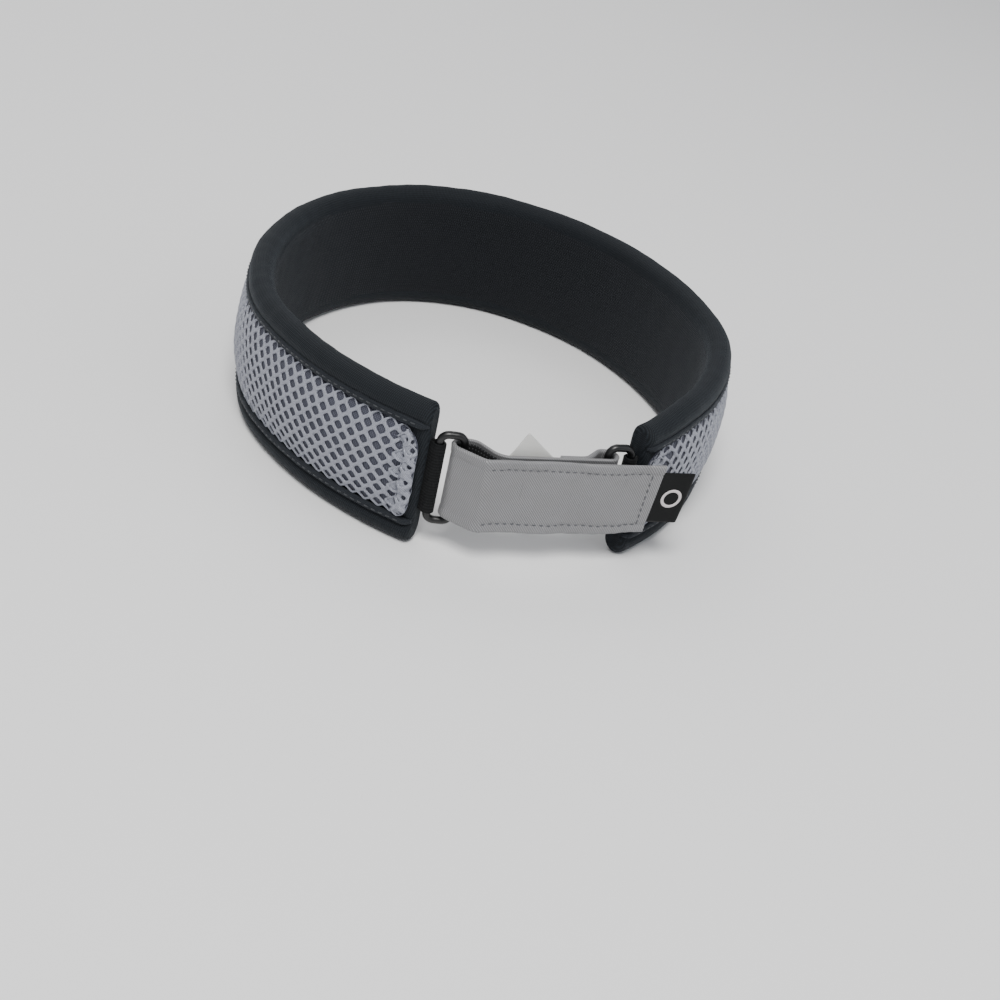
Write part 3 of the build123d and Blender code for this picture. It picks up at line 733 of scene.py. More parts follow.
def panel_height(s, t):
    """How far the mesh stands out from the cover: a pillow with a sewn, puckered hem at each rear end."""
    side = 1 - np.abs(t / MESH_HALF) ** 2.5
    end = panel_end(s, t)
    rear = 1 - (1 - np.clip(end / (15 * MM), 0, 1)) ** 2.2
    pillow = MESH_BULGE * side * (0.16 + 0.84 * rear)
    hem = 0.95 * MM * np.exp(-(((end - 1.8 * MM) / (1.5 * MM)) ** 2)) * smooth_step(1.5 * side)
    seam = -0.85 * MM * np.exp(-(((end - 4.8 * MM) / (0.8 * MM)) ** 2)) * smooth_step(1.5 * side)
    bunch = 1.1 * MM * np.exp(-((end / (4 * MM)) ** 2) - (((t + MESH_HALF - 2.5 * MM) / (3 * MM)) ** 2))
    tuck = 0.45 * MM * wobble(s * 0.6, t, 5.0 * MM, 31) * np.exp(-((end / (6.5 * MM)) ** 2))
    sag = 0.16 * MM * wobble(s, t, 26 * MM, 32) * side
    return pillow + hem + seam + bunch + tuck + sag - 0.35 * MM


def panel_point(s, t, lift):
    """A point on the mesh panel, lifted along its own normal."""
    step = 0.4 * MM
    here = on_pad(s, panel_height(s, t), MESH_MIDDLE + t)
    ds = on_pad(s + step, panel_height(s + step, t), MESH_MIDDLE + t) - here
    dt = on_pad(s, panel_height(s, t + step), MESH_MIDDLE + t + step) - here
    normal = np.cross(dt, ds)
    normal /= np.linalg.norm(normal, axis=-1, keepdims=True)
    return here + normal * np.asarray(lift)[..., None]


def net_cells(s_from, s_to, shift=0.0):
    """Centres of the net's holes, as (s, t), in rows along the pad."""
    rows = int(MESH_HALF / NET_ROW) + 1
    cells = []
    for row in range(-rows, rows + 1):
        offset = NET_PITCH / 2 * (row % 2) + shift
        for k in range(math.ceil((s_from - offset) / NET_PITCH), math.floor((s_to - offset) / NET_PITCH) + 1):
            cells.append((k * NET_PITCH + offset, row * NET_ROW))
    return np.array(cells)


def cell_outline(divisions=4):
    """The middle line of the strands round one hole, as points and the share of a node in each."""
    x, low, high = NET_PITCH / 2, NET_NODE / 2, NET_ROW - NET_NODE / 2
    corners = [(x, -low), (x, low), (0, high), (-x, low), (-x, -low), (0, -high)]
    points, nodes = [], []
    for index, (a, b) in enumerate(zip(corners, corners[1:] + corners[:1])):
        pieces = 1 if index % 3 == 0 else divisions
        for k in range(pieces):
            share = k / pieces
            points.append((a[0] + (b[0] - a[0]) * share, a[1] + (b[1] - a[1]) * share))
            nodes.append(abs(2 * share - 1) ** 2)
    return np.array(points), np.array(nodes)


# across half a strand, from its middle line to the hole: share of the way, and share of its height
STRAND_PROFILE = ((0.38, 1.0), (0.80, 0.60), (1.0, 0.0))


def make_net(name, cells, base_lift, seed):
    """A knitted net of paired strands. Neighbouring holes share the middle line between them."""
    random = np.random.default_rng(seed)
    outline, nodes = cell_outline()
    count = len(outline)
    away = np.linalg.norm(outline, axis=1)
    reach = ((away - NET_HALF_STRAND) ** -4.0 + HOLE_REACH**-4.0) ** -0.25
    hole = outline / away[:, None] * reach[:, None]
    strand = (0.30 + 0.12 * nodes) * MM
    keys, places, lifts, faces = {}, [], [], []
    inside = panel_edge(cells[:, 0], cells[:, 1]) > -0.3 * NET_ROW
    for centre in cells[inside]:
        ids = []
        for point, height in zip(centre + outline, strand):
            key = tuple(np.round(point / MM * 37).astype(int))
            if key not in keys:
                keys[key] = len(places)
                places.append(point)
                lifts.append(height * 0.72 + random.normal(0, 0.03) * MM)
            ids.append(keys[key])
        size = random.uniform(0.94, 1.06)
        drift = random.normal(0, 0.08, 2) * MM
        rim = centre + drift + hole * size
        steps = [((centre + outline) * (1 - share) + rim * share, strand * tall) for share, tall in STRAND_PROFILE]
        wall = (centre + drift + hole * size * 0.97, np.full(count, -0.28 * MM))
        for points, heights in [*steps, wall]:
            ring = list(range(len(places), len(places) + count))
            places += list(points)
            lifts += list(heights)
            faces += [(ids[k], ids[(k + 1) % count], ring[(k + 1) % count], ring[k]) for k in range(count)]
            ids = ring
    flat = np.array(places)
    s, t = panel_clamp(flat[:, 0], flat[:, 1])
    return make_object(name, panel_point(s, t, np.array(lifts) + base_lift), faces, flat)


def make_mesh_panel():
    cuts = np.linspace(MESH_END, PAD_LENGTH - MESH_END, 4)
    cuts[0], cuts[-1] = -NET_PITCH, PAD_LENGTH + NET_PITCH
    cells = net_cells(MESH_END - NET_PITCH, PAD_LENGTH - MESH_END + NET_PITCH)
    for index, name in enumerate(("air_mesh_left", "air_mesh_front", "air_mesh_right")):
        here = (cells[:, 0] >= cuts[index]) & (cells[:, 0] < cuts[index + 1])
        piece = make_net(name, cells[here], 0.0, 40 + index)
        dress(piece, "mesh_silver", "band")
        if index == 0:
            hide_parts("mesh_cover")
    hem = 5.2 * MM
    for index, name in enumerate(("mesh_hem_left", "mesh_hem_right")):
        low = MESH_END - NET_PITCH if index == 0 else PAD_LENGTH - MESH_END - hem
        high = MESH_END + hem if index == 0 else PAD_LENGTH - MESH_END + NET_PITCH
        piece = make_net(name, net_cells(low, high, 0.37 * NET_PITCH), 0.50 * MM, 50 + index)
        dress(piece, "mesh_silver", "band")
    rows, columns = 260, 30
    places = np.linspace(MESH_END, PAD_LENGTH - MESH_END, rows)
    s, t = np.meshgrid(places, np.linspace(-1, 1, columns) * MESH_HALF, indexing="ij")
    s, t = panel_clamp(s, t)
    top = panel_point(s, t, np.full(s.shape, -0.62 * MM))
    low = on_pad(s, np.full(s.shape, -1.6 * MM), MESH_MIDDLE + t)
    ground = two_sided("mesh_ground", top, low, np.stack([s, t], -1), flip=True)
    dress(ground, "mesh_ground", "band", "mesh_foam", "mesh_backing")


# ---- strap ------------------------------
LEFT_HINGE = np.array(joints["left_ring_swivel"]["pos_m"][:2])
RIGHT_HINGE = np.array(joints["right_ring_swivel"]["pos_m"][:2])
LEFT_BAR = LEFT_HINGE + RING_PITCH * np.array([-math.cos(RING_TILT), math.sin(RING_TILT)])
RIGHT_BAR = RIGHT_HINGE + RING_PITCH * np.array([math.cos(RING_TILT), math.sin(RING_TILT)])
RUN_START = RIGHT_BAR + np.array([0, FOLD_RADIUS])
RUN_CORNER = RUN_START + np.array([38.4, 3.0]) * MM
RUN_DIRECTION = (RUN_CORNER - RUN_START) / np.linalg.norm(RUN_CORNER - RUN_START)
RUN_NORMAL = np.array([-RUN_DIRECTION[1], RUN_DIRECTION[0]])


def on_run(x, lift=0.0):
    """Points in plan at places x along the strap's straight run, lifted away from the head. Works on arrays."""
    start = RUN_START + RUN_NORMAL * lift
    return start + RUN_DIRECTION * (np.asarray(x - start[0]) / RUN_DIRECTION[0])[..., None]


def arc_points(centre, radius, start, turn, step=0.35 * MM):
    count = max(3, int(abs(math.radians(turn)) * radius / step))
    angles = np.radians(np.linspace(start, start + turn, count))
    return [centre + radius * np.array([math.cos(a), math.sin(a)]) for a in angles]


def rounded_route(points, radii, step=0.45 * MM):
    """Points along straight runs with rounded corners."""
    out = [points[0]]
    for before, corner, after, radius in zip(points, points[1:], points[2:], radii):
        a = (before - corner) / np.linalg.norm(before - corner)
        b = (after - corner) / np.linalg.norm(after - corner)
        half = math.acos(np.clip(a @ b, -1, 1)) / 2
        cut = radius / math.tan(half)
        centre = corner + (a + b) / np.linalg.norm(a + b) * radius / math.sin(half)
        first, last = corner + a * cut - centre, corner + b * cut - centre
        count = max(3, int((math.pi - 2 * half) * radius / step))
        for t in np.linspace(0, 1, count):
            angle = (math.pi - 2 * half)
            mixed = (math.sin((1 - t) * angle) * first + math.sin(t * angle) * last) / math.sin(angle)
            out.append(centre + mixed)
    out.append(points[-1])
    dense = [out[0]]
    for a, b in zip(out, out[1:]):
        pieces = max(1, int(np.linalg.norm(b - a) / step))
        for k in range(1, pieces + 1):
            dense.append(a + (b - a) * k / pieces)
    return dense


def strap_route():
    """The strap's middle line in plan, from its sewn tail round both rings to the flap's end.

    Returns the points and the lengths at which its landmarks lie.
    """
    tail_lift = -STRAP_THICKNESS - 0.05 * MM
    under = RIGHT_BAR - np.array([0, FOLD_RADIUS])
    tail = rounded_route(
        [
            on_run(-7.5 * MM, tail_lift),
            on_run(RIGHT_BAR[0] + 8 * MM, tail_lift),
            under + np.array([2.5 * MM, 0]),
            under,
        ],
        [4 * MM, 3 * MM],
    )
    right_fold = arc_points(RIGHT_BAR, FOLD_RADIUS, 270, -180)
    run_end = LEFT_BAR - np.array([0, FOLD_RADIUS])
    run = rounded_route([RUN_START, RUN_CORNER, run_end - np.array([4.5 * MM, 0]), run_end], [7 * MM, 5 * MM])
    left_fold = arc_points(LEFT_BAR, FOLD_RADIUS, -90, 90 + PEEL_ANGLE)
    peel = left_fold[-1]
    leave = np.array([-sind(PEEL_ANGLE), cosd(PEEL_ANGLE)])
    away = peel - on_run(0, FLAP_LIFT)
    corner = peel - leave * ((away @ RUN_NORMAL) / (leave @ RUN_NORMAL))
    flap = rounded_route([peel, corner, on_run(FLAP_END_X, FLAP_LIFT)], [3.2 * MM])
    marks, points = {}, []
    names = ("tail", "right_fold", "run", "left_fold", "flap")
    for name, stretch in zip(names, (tail, right_fold, run, left_fold, flap)):
        marks[name] = len(points)
        points += stretch if not points else stretch[1:]
    points = np.array(points)
    length = np.concatenate([[0], np.cumsum(np.linalg.norm(np.diff(points, axis=0), axis=1))])
    marks = {name: length[min(index, len(length) - 1)] for name, index in marks.items()}
    marks["end"] = length[-1]
    marks["crease"] = marks["flap"] + np.linalg.norm(corner - peel)
    return points, length, marks


ROUTE, ROUTE_LENGTH, MARKS = strap_route()


def route_at(l):
    """Middle-line point and the normal towards the lining, at lengths l."""
    p = np.stack([np.interp(l, ROUTE_LENGTH, ROUTE[:, k]) for k in (0, 1)], -1)
    step = 0.5 * MM
    low, high = np.maximum(l - step, 0), np.minimum(l + step, ROUTE_LENGTH[-1])
    a = np.stack([np.interp(low, ROUTE_LENGTH, ROUTE[:, k]) for k in (0, 1)], -1)
    b = np.stack([np.interp(high, ROUTE_LENGTH, ROUTE[:, k]) for k in (0, 1)], -1)
    d = (b - a) / np.linalg.norm(b - a, axis=-1, keepdims=True)
    return p, np.stack([-d[..., 1], d[..., 0]], -1), d


def strap_length_at_x(x):
    """The flap's length coordinate at a place x along its straight stretch."""
    inside = ROUTE_LENGTH > MARKS["flap"] + 6 * MM
    return float(np.interp(-x, -ROUTE[inside, 0], ROUTE_LENGTH[inside]))


STITCH_INSET = 3.5 * MM


def strap_wrinkle(l, w):
    """Soft folds of the silver cloth, away from its lining: hems, their puckers and a few long waves."""
    half = STRAP_WIDTH / 2
    from_edge = half - np.abs(w)
    side = np.sign(w) * 5 * MM
    hem = np.exp(-(((from_edge - 2.0 * MM) / (1.9 * MM)) ** 2))
    beside = np.exp(-(((from_edge - 5.2 * MM) / (1.6 * MM)) ** 2))
    flap = smooth_step((l - MARKS["crease"]) / (6 * MM))
    loose = smooth_step((MARKS["end"] - l) / (6 * MM))
    pucker = 0.34 * MM * wobble(l, side, 5.5 * MM, 61) * hem + 0.36 * MM * wobble(l, side, 7.0 * MM, 64) * beside
    wave = 0.62 * MM * wobble(l, w * 0.45, 15 * MM, 62)
    double = 0.24 * MM * smooth_step((STITCH_INSET + 0.1 * MM - from_edge) / (0.7 * MM))
    lip = 0.16 * MM * np.exp(-(((from_edge - 0.9 * MM) / (0.45 * MM)) ** 2))
    groove = -0.32 * MM * np.exp(-(((from_edge - STITCH_INSET) / (0.50 * MM)) ** 2))
    crease = 0.40 * MM * np.exp(-(((l - MARKS["crease"] + w * 0.06) / (0.9 * MM)) ** 2))
    cloth = (pucker + wave) * (0.25 + 0.75 * flap) * (0.25 + 0.75 * loose)
    return cloth + double + lip + groove * (0.3 + 0.7 * flap) + crease


def flap_end_slant(l, w):
    """The flap's end is cut a little slanted, longer at the top."""
    near = smooth_step((l - (MARKS["end"] - 12 * MM)) / (12 * MM))
    return near * (w / (STRAP_WIDTH / 2)) * 1.3 * MM


def strap_section():
    """Closed section as (across, outwards-from-lining): silver face, rounded edges, hidden back."""
    half = STRAP_WIDTH / 2
    face = np.linspace(-half + 0.7 * MM, half - 0.7 * MM, 46)
    points = [(w, -STRAP_THICKNESS / 2) for w in face]
    for a in np.linspace(-90, 90, 9)[1:-1]:
        points.append((half - 0.7 * MM + cosd(a) * 0.7 * MM, sind(a) * 0.6 * MM))
    points += [(w, 0.45 * MM) for w in face[::-3]]
    for a in np.linspace(90, 270, 9)[1:-1]:
        points.append((-half + 0.7 * MM + cosd(a) * 0.7 * MM, sind(a) * 0.6 * MM))
    return np.array(points)


def strap_surface(l, w, n):
    """World points of the strap at length l, place w across and n towards the lining."""
    p, normal, along = route_at(np.clip(l + flap_end_slant(l, w), 0, ROUTE_LENGTH[-1]))
    spill = (l + flap_end_slant(l, w)) - np.clip(l + flap_end_slant(l, w), 0, ROUTE_LENGTH[-1])
    silver = np.where(n < 0, 1.0, 0.0)
    depth = n - silver * strap_wrinkle(l, w)
    sway = 0.35 * MM * wobble(l, 0.0, 24 * MM, 63) * smooth_step((l - MARKS["flap"]) / (20 * MM))
    curl = 1.3 * MM * smooth_step((l - MARKS["end"] + 26 * MM) / (26 * MM)) * np.clip(-w / (STRAP_WIDTH / 2), 0, 1)
    flat = p + normal * depth[..., None] + along * spill[..., None]
    return np.concatenate([flat, (STRAP_Z + w + sway + curl)[..., None]], -1)


def make_strap_piece(name, l_from, l_to):
    """A stretch of the strap's silver cloth, closed at its ends."""
    section = strap_section()
    lengths = np.linspace(l_from, l_to, max(4, int((l_to - l_from) / (0.5 * MM))))
    rings = [strap_surface(np.full(len(section), at), *section.T) for at in lengths]
    return tube_object(name, np.array(rings), tube_uv(lengths, section))


def make_lining(name, l_from, l_to, low, high, seed):
    """The black hook-and-loop layer on the strap's inner side, from n = low to high."""
    half = STRAP_WIDTH / 2 - 1.5 * MM
    profile = [(-half, low), (-half + 0.15 * MM, high), *[(w, high) for w in np.linspace(-half + MM, half - MM, 24)]]
    profile += [(half - 0.15 * MM, high), (half, low), *[(w, low) for w in np.linspace(half - MM, -half + MM, 8)]]
    profile = np.array(profile)
    w, n = profile.T
    lengths = np.linspace(l_from, l_to, max(4, int((l_to - l_from) / (0.7 * MM))))
    rings = []
    for at in lengths:
        fuzz = 0.05 * MM * wobble(at, w, 2.4 * MM, seed) * (n > low)
        rings.append(strap_surface(np.full(len(w), at), w, n + fuzz))
    return tube_object(name, np.array(rings), tube_uv(lengths, profile), flip=True)


def strap_stitches(lengths, w, face, away, step_l=0.5 * MM, step_w=0.0):
    """Stitches on the strap as (centres, directions, ways out), at lengths and places w, running by the steps."""
    l, w = np.broadcast_arrays(np.asarray(lengths, float), w)
    n = np.full(len(l), face)
    centre = strap_surface(l, w, n)
    return centre, strap_surface(l + step_l, w + step_w, n) - centre, strap_surface(l, w, n + away) - centre


def make_strap():
    root = MARKS["flap"] - 2.5 * MM
    middle = strap_length_at_x(5 * MM)
    split = strap_length_at_x(FLAP_SPLIT_X)
    end = MARKS["end"]
    main = make_strap_piece("strap_main", 0.0, root)
    dress(main, "strap_silver", "band", "strap_run", "strap_fold", "strap_anchor")
    near = make_strap_piece("flap_near", root, middle)
    dress(near, "strap_silver", None, "flap_root")
    far = make_strap_piece("flap_far", middle, end)
    dress(far, "strap_silver", None, "flap_tip")
    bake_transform(near)
    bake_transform(far)

    tape_n, pile_n = (0.40 * MM, 0.72 * MM), (0.72 * MM, 1.36 * MM)
    loop_from = MARKS["run"] + 4 * MM
    dress(make_lining("loop_tape", loop_from, root, *tape_n, 71), "hook_loop_black", "band")
    pile = make_lining("loop_pile", loop_from + MM, MARKS["run"] + 33 * MM, *pile_n, 72)
    dress(pile, "hook_loop_black", "band", "loop_patch")
    tape_near = make_lining("flap_tape_near", root, middle, *tape_n, 73)
    dress(tape_near, "hook_loop_black", None, "flap_lining")
    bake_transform(tape_near)
    tape_far = make_lining("flap_tape_far", middle, end - 1.5 * MM, *tape_n, 74)
    dress(tape_far, "hook_loop_black", None)
    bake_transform(tape_far)
    hook = make_lining("hook_pile", split + 1.5 * MM, end - 4.5 * MM, *pile_n, 75)
    dress(hook, "hook_loop_black", "flap_tail", "hook_patch")
    make_flap_stitches(middle, end)
    make_anchor_stitches()


def make_flap_stitches(middle, end):
    """The row along both hems and across the flap's end, in two pieces that part where the flap's do."""
    pitch, face = 2.6 * MM, -STRAP_THICKNESS / 2
    row = STRAP_WIDTH / 2 - STITCH_INSET
    near = np.arange(MARKS["crease"] + 0.5 * MM + pitch / 2, middle - 0.3 * MM, pitch)
    far = np.arange(middle + 0.3 * MM + pitch / 2, end - STITCH_INSET - 0.5 * MM, pitch)
    for name, lengths, body, node in (
        ("flap_stitches_near", near, "flap", "flap_root_stitching"),
        ("flap_stitches_far", far, None, "flap_tip_stitching"),
    ):
        rows = []
        for w in (-row, row):
            random = np.random.default_rng(int(5000 + w * 1e5))
            rows.append(strap_stitches(lengths, w + random.normal(0, 0.07 * MM, len(lengths)), face, -MM))
        if not body:
            across = np.arange(-row + pitch / 2, row, pitch)
            rows.append(strap_stitches(np.full(len(across), end - STITCH_INSET), across, face, -MM, 0.0, 0.5 * MM))
        stitches = stitch_row(name, *map(np.concatenate, zip(*rows)), 1.9 * MM, 0.27 * MM)
        dress(stitches, "thread_grey", body, node)
        if not body:
            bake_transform(stitches)


def make_anchor_stitches():
    """The box that holds the strap's tail to its run."""
    pitch, face = 2.4 * MM, STRAP_THICKNESS / 2 - 0.2 * MM
    row = STRAP_WIDTH / 2 - STITCH_INSET
    ends = (3.0 * MM, 10.0 * MM)
    lengths, places = np.arange(*ends, pitch), np.arange(-row, row, pitch)
    rows = [strap_stitches(lengths, w, face, MM) for w in (-row, row)]
    rows += [strap_stitches(np.full(len(places), l), places, face, MM, 0.0, 0.5 * MM) for l in ends]
    box = stitch_row("anchor_stitches", *map(np.concatenate, zip(*rows)), 1.8 * MM, 0.22 * MM)
    dress(box, "thread_grey", "band", "anchor_box_stitch")


# ---- pull tab, label, ring tabs ------------------------------
def rounded_plate(name, corners_2d, thickness, corner, to_world):
    """A thin plate with rounded corners, as a grid squeezed into its outline. corners_2d are (low, high)."""
    (x0, z0), (x1, z1) = corners_2d
    nx, nz = 20, 30
    gx, gz = np.meshgrid(np.linspace(-1, 1, nx), np.linspace(-1, 1, nz), indexing="ij")
    hx, hz = (x1 - x0) / 2, (z1 - z0) / 2
    px, pz = gx * hx, gz * hz
    dx, dz = np.maximum(np.abs(px) - (hx - corner), 0), np.maximum(np.abs(pz) - (hz - corner), 0)
    reach = np.hypot(dx, dz)
    cut = np.where(reach > corner, corner / np.maximum(reach, 1e-9), 1.0)
    px = np.sign(px) * (np.minimum(np.abs(px), hx - corner) + dx * cut)
    pz = np.sign(pz) * (np.minimum(np.abs(pz), hz - corner) + dz * cut)
    edge = np.minimum(hx - np.abs(gx * hx), hz - np.abs(gz * hz))
    soft = np.sqrt(np.clip(1 - (1 - np.clip(edge / (0.6 * MM), 0, 1)) ** 2, 0.0, 1)) * 0.8 + 0.2
    cx, cz = (x0 + x1) / 2, (z0 + z1) / 2
    front = to_world(cx + px, cz + pz, thickness / 2 * soft)
    back = to_world(cx + px, cz + pz, -thickness / 2 * soft)
    return two_sided(name, front, back, np.stack([px, pz], -1))


def make_pull_tab():
    low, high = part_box("pull_tab")
    start_x, end_x = high.x, low.x
    z_half = (high.z - low.z) / 2
    slant = 1.2 * MM

    def to_world(x, z, out):
        curl = 0.36 * MM * smooth_step((start_x - x) / (start_x - end_x)) * np.cos(z / z_half * 1.2)
        flat = on_run(x - slant * z / z_half, FLAP_LIFT) + RUN_NORMAL * np.asarray(out + curl)[..., None]
        return np.concatenate([flat, np.asarray(TAB_Z + z)[..., None]], -1)

    outline = ((end_x, -z_half), (start_x + 0.9 * MM, z_half))
    tab = rounded_plate("pull_tab_tape", outline, 0.8 * MM, 0.35 * MM, to_world)
    dress(tab, "tab_black", "pull_tab", "pull_tab")
    # a plain raised ring as the grip mark
    radius, rod, count, sides = 3.1 * MM, 0.55 * MM, 48, 8
    a, b = np.meshgrid(TAU * np.arange(count) / count, TAU * np.arange(sides) / sides, indexing="ij")
    reach = radius + rod * np.cos(b)
    middle_x = (start_x + end_x) / 2 - 0.2 * MM
    points = to_world(middle_x + reach * np.cos(a), reach * np.sin(a), 0.45 * MM + 0.12 * MM * np.sin(b))
    mark = make_object("pull_tab_ring", points.reshape(-1, 3), torus_faces(count, sides, flip=True))
    dress(mark, "mark_grey", "pull_tab", "pull_tab_mark")


LABEL_SPREAD = 2.0 * MM  # how far the label's left corner reaches past its hem


def make_label():
    """Blank satin label: its standing corner moves on the label joint, its hem stays sewn to the strap."""
    low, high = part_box("care_label")
    seam = joints["label_flex"]["pos_m"][2]
    apex_z = high.z
    middle_x = (low.x + high.x) / 2
    half = (high.x - low.x) / 2
    head_side = -STRAP_THICKNESS / 2 - 0.8 * MM
    apex_x = middle_x + 1.8 * MM

    def to_world(x, z, out):
        curl = 0.7 * MM * smooth_step((z - seam) / (apex_z - seam)) ** 2
        lift = out - curl + 0.15 * MM * wobble(x, z, 9 * MM, 81)
        flat = on_run(x, head_side) + RUN_NORMAL * lift[..., None]
        return np.concatenate([flat, z[..., None]], -1)

    u, v = np.meshgrid(np.linspace(0, 1, 24), np.linspace(0, 1, 24))
    z = seam + (apex_z - seam) * v
    left_foot, right_foot = middle_x - half - LABEL_SPREAD, middle_x + half
    left = left_foot + (apex_x - 0.15 * MM - left_foot) * v
    right = right_foot + (apex_x + 0.15 * MM - right_foot) * v
    x = left + (right - left) * u
    sides = [to_world(x, z, lift) for lift in (0.13 * MM, -0.13 * MM)]
    flag = two_sided("label_corner", *sides, np.stack([x, z], -1))
    dress(flag, "label_white", "care_label", "care_label")

    hem_low, hem_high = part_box("care_label_hem")

    def hem_world(x, z, out):
        flat = on_run(x, head_side) + RUN_NORMAL * out[..., None]
        return np.concatenate([flat, z[..., None]], -1)

    outline = ((hem_low.x + 0.1 * MM, hem_low.z), (hem_high.x - 0.1 * MM, hem_high.z))
    hem = rounded_plate("label_hem", outline, 0.5 * MM, 0.4 * MM, hem_world)
    dress(hem, "label_white", "band", "care_label_hem")
    x = np.arange(hem_low.x + 1.5 * MM, hem_high.x - MM, 2.4 * MM)
    centre = hem_world(x, np.full(len(x), hem_low.z + 1.7 * MM), np.full(len(x), -0.25 * MM))
    along = np.tile(np.array([*RUN_DIRECTION, 0.0]), (len(x), 1))
    out = np.tile(np.array([*-RUN_NORMAL, 0.0]), (len(x), 1))
    row = stitch_row("label_stitches", centre, along, out, 1.7 * MM, 0.18 * MM)
    dress(row, "thread_grey", "band", "label_stitch")


def make_ring_tab(side, name):
    """Webbing that comes out of the pad's end seam, goes round the ring's bar and returns."""
    hinge = LEFT_HINGE if side > 0 else RIGHT_HINGE
    s = 0.0 if side > 0 else PAD_LENGTH
    end = on_pad(s, -PAD_THICKNESS / 2, 0.0)[:2]
    beyond = (hinge - end) / np.linalg.norm(hinge - end)
    across = np.array([-beyond[1], beyond[0]])
    gap = np.linalg.norm(hinge - end)
    radius = 1.95 * MM
    pad_side = [end - beyond * 3 * MM + across * 0.6 * MM, end + beyond * 0.2 * MM + across * 0.7 * MM]
    route = list(pad_side)
    for angle in np.linspace(125, -125, 22):
        route.append(hinge + radius * (beyond * cosd(angle) + across * sind(angle)))
    route += [end + beyond * 0.2 * MM - across * 0.7 * MM, end - beyond * 3 * MM - across * 0.6 * MM]
    route = np.array(route)
    low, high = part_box(f"{name}_ring_tab")
    half = (high.z - low.z) / 2
    middle = (high.z + low.z) / 2
    d = np.gradient(route, axis=0)
    d /= np.linalg.norm(d, axis=1, keepdims=True)
    normal = np.stack([-d[:, 1], d[:, 0]], -1)
    length = np.concatenate([[0], np.cumsum(np.linalg.norm(np.diff(route, axis=0), axis=1))])
    profile = [(w, 0.42 * MM) for w in np.linspace(-half + 0.4 * MM, half - 0.4 * MM, 20)]
    outer = np.linspace(half - 0.4 * MM, -half + 0.4 * MM, 20)
    profile += [(half, 0.0)] + [(w, -0.42 * MM) for w in outer] + [(-half, 0.0)]
    profile = np.array(profile)
    rings = []
    for k in range(len(route)):
        flat = route[k] + normal[k] * profile[:, 1:2]
        rings.append(np.concatenate([flat, (middle + profile[:, 0])[:, None]], -1))
    across_at = np.concatenate([profile[:, 0], profile[:1, 0]])
    uv = np.zeros((len(route), len(profile) + 1, 2))
    uv[..., 0] = length[:, None]
    uv[..., 1] = across_at[None, :]
    obj = tube_object(f"{name}_tab_webbing", np.array(rings), uv)
    dress(obj, "webbing_black", "band", f"{name}_ring_tab")


def make_ring(side, name):
    """A moulded rod bent to a rectangle, round the ring tab on one side and the strap on the other."""
    hinge = LEFT_HINGE if side > 0 else RIGHT_HINGE
    bar = LEFT_BAR if side > 0 else RIGHT_BAR
    reach = (bar - hinge) / RING_PITCH
    low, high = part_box(f"{name}_ring")
    middle = (low.z + high.z) / 2
    corner, rod, sides = 2.8 * MM, 1.35 * MM, 14
    half = np.array([RING_PITCH / 2, RING_HEIGHT / 2]) - corner
    line = []
    for turn, signs in enumerate(((1, 1), (-1, 1), (-1, -1), (1, -1))):
        for angle in np.linspace(90 * turn, 90 * turn + 90, 9):
            line.append(half * signs + corner * np.array([cosd(angle), sind(angle)]))
        bend = np.array([cosd(90 * turn + 90), sind(90 * turn + 90)])
        stop = half * ((-1, 1), (-1, -1), (1, -1), (1, 1))[turn] + corner * bend
        line += [line[-1] + (stop - line[-1]) * share for share in np.linspace(0, 1, 10)[1:-1]]
    line = np.array(line)
    ahead = np.roll(line, -1, 0) - np.roll(line, 1, 0)
    ahead /= np.linalg.norm(ahead, axis=1, keepdims=True)
    out = np.stack([ahead[:, 1], -ahead[:, 0]], -1)
    aside = np.array([-reach[1], reach[0]])
    verts, uv = [], []
    for k, (place, away) in enumerate(zip(line, out)):
        for q in range(sides):
            turn = TAU * q / sides
            u, z = place + away * rod * math.cos(turn)
            flat = (hinge + bar) / 2 + reach * u + aside * rod * math.sin(turn)
            verts.append((*flat, middle + z))
            uv.append((k * MM, q * 0.6 * MM))
    obj = make_object(f"{name}_ring_rod", verts, torus_faces(len(line), sides), uv)
    bm = bmesh.new()
    bm.from_mesh(obj.data)
    bmesh.ops.recalc_face_normals(bm, faces=bm.faces)
    bm.to_mesh(obj.data)
    bm.free()
    dress(obj, "ring_plastic", f"{name}_ring", f"{name}_ring")


def make_bartack(name):
    low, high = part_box(f"{name}_tab_bartack")
    s = 3.6 * MM if name == "left" else PAD_LENGTH - 3.6 * MM
    count = 30
    z = np.linspace(low.z, high.z, count)
    centre = on_pad(np.full(count, s), -PAD_THICKNESS - 0.05 * MM, z)
    along = on_pad(np.full(count, s + MM), -PAD_THICKNESS, z) - centre
    along[:, 2] += np.where(np.arange(count) % 2, 0.25, -0.25) * MM
    out = on_pad(np.full(count, s), -PAD_THICKNESS - MM, z) - on_pad(np.full(count, s), -PAD_THICKNESS, z)
    row = stitch_row(f"{name}_bartack", centre, along, out, 2.2 * MM, 0.3 * MM)
    dress(row, "thread_black", "band", f"{name}_tab_bartack")


# ---- carried-over CAD nodes ------------------------------
def dress_cad():
    for name, slot in (
        ("cord_anchor_plate", "anchor_rubber"),
        ("cord_eyelet", "eyelet_metal"),
        ("eyelet_washer", "eyelet_metal"),
    ):
        node = frame["nodes"][name]
        node.data.materials.clear()
        node.data.materials.append(MATERIALS[slot])


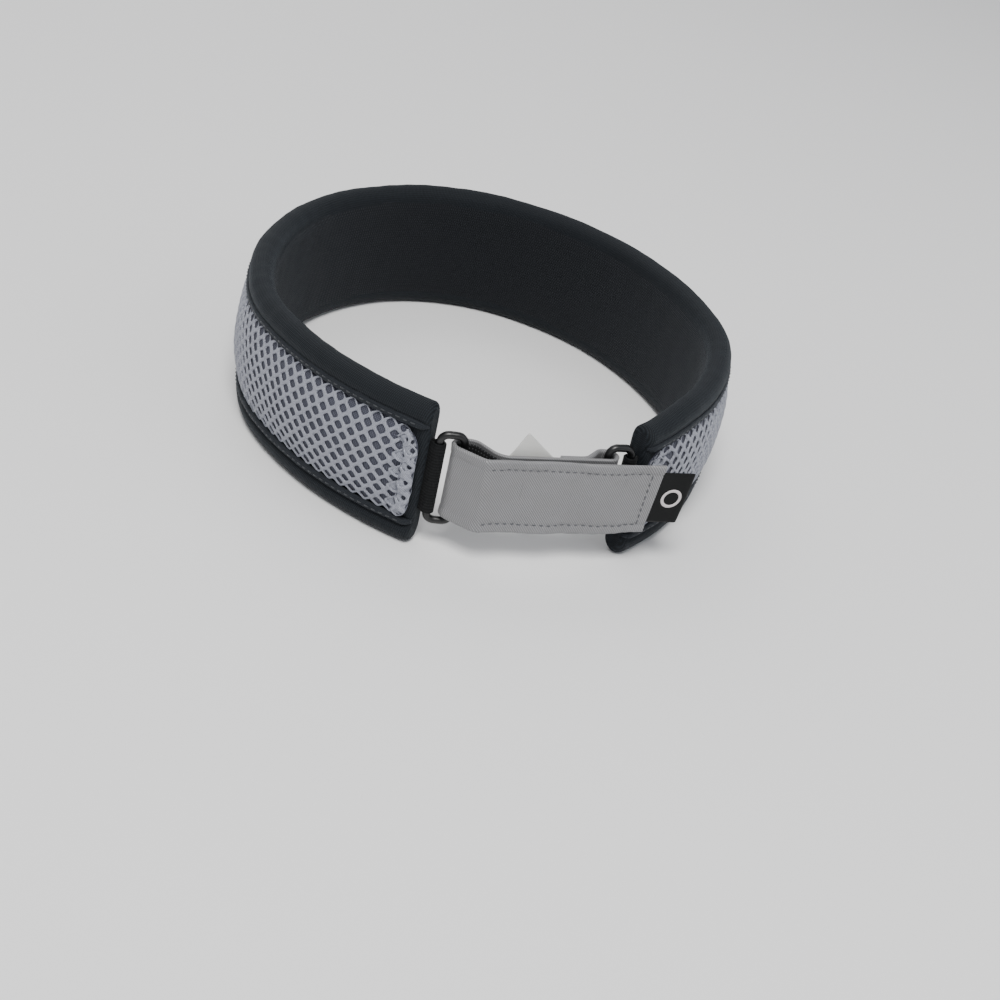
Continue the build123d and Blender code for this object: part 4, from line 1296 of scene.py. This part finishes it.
# ---- stage ------------------------------
def make_stage():
    floor_mesh = bpy.data.meshes.new("floor")
    size = 6.0
    corners = [(-size, -size, 0), (size, -size, 0), (size, size, 0), (-size, size, 0)]
    floor_mesh.from_pydata(corners, [], [(0, 1, 2, 3)])
    floor = bpy.data.objects.new("floor", floor_mesh)
    floor.location.z = -0.3 * MM
    bpy.context.scene.collection.objects.link(floor)
    paint = bpy.data.materials.new("floor_paper")
    paint.use_nodes = True
    shader = paint.node_tree.nodes["Principled BSDF"]
    shader.inputs["Base Color"].default_value = (0.86, 0.86, 0.86, 1)
    shader.inputs["Roughness"].default_value = 0.9
    floor_mesh.materials.append(paint)
    world = bpy.data.worlds.new("studio")
    bpy.context.scene.world = world
    world.use_nodes = True
    world.node_tree.nodes["Background"].inputs[0].default_value = (0.93, 0.95, 1.0, 1)
    world.node_tree.nodes["Background"].inputs[1].default_value = 0.48
    for name, place, size, energy, colour in (
        ("key", (0.30, 0.95, 1.6), 0.7, 36.0, (1.0, 0.99, 0.97)),
        ("fill", (-1.1, 0.8, 0.8), 1.2, 4.0, (0.92, 0.95, 1.0)),
        ("front", (0.2, -1.2, 1.1), 1.2, 7.0, (1.0, 0.98, 0.95)),
    ):
        lamp = bpy.data.lights.new(name, "AREA")
        lamp.energy = energy
        lamp.size = size
        lamp.color = colour
        obj = bpy.data.objects.new(name, lamp)
        obj.location = place
        obj.rotation_mode = "QUATERNION"
        obj.rotation_quaternion = (Vector((0, 0, 0.03)) - Vector(place)).to_track_quat("-Z", "Y")
        bpy.context.scene.collection.objects.link(obj)


def make_camera():
    """Behind the wearer, a little to the left and above, rolled as a hand-held camera."""
    azimuth, elevation, roll = math.radians(164.68), math.radians(28.33), math.radians(11.93)
    distance = 600.3 * MM
    target = Vector((0, 9.79 * MM, 0))
    back = Vector((
        math.sin(azimuth) * math.cos(elevation), -math.cos(azimuth) * math.cos(elevation), math.sin(elevation)
    ))
    forward = -back
    right = forward.cross(Vector((0, 0, 1))).normalized()
    up = right.cross(forward)
    rolled_right = right * math.cos(roll) + up * math.sin(roll)
    rolled_up = up * math.cos(roll) - right * math.sin(roll)
    aim = (forward + rolled_right * 0.0189 - rolled_up * 0.0519).normalized()
    side = aim.cross(rolled_up).normalized()
    top = side.cross(aim)
    camera = bpy.data.cameras.new("camera")
    camera.sensor_width = 36.0
    camera.lens = 54.9
    camera.clip_start = 0.01
    obj = bpy.data.objects.new("camera", camera)
    rotation = Matrix((side, top, -aim)).transposed()
    obj.matrix_world = Matrix.Translation(target + back * distance) @ rotation.to_4x4()
    bpy.context.scene.collection.objects.link(obj)
    bpy.context.scene.camera = obj


make_cover()
make_liner()
pad_cord("top_binding", MESH_HIGH + 1.35 * MM, 91, "piping_black", "top_piping")
pad_cord("bottom_binding", MESH_LOW - 1.35 * MM, 93, "piping_black", "bottom_piping")
pad_stitches("top_seam_stitches", MESH_HIGH + 1.5 * MM, 0.85 * MM, 95, "top_seam_thread")
pad_stitches("bottom_seam_stitches", MESH_LOW - 1.5 * MM, 0.85 * MM, 96, "bottom_seam_thread")
make_mesh_panel()
make_strap()
make_pull_tab()
make_label()
for side, name in ((1, "left"), (-1, "right")):
    make_ring_tab(side, name)
    make_ring(side, name)
    make_bartack(name)
dress_cad()
make_stage()
make_camera()
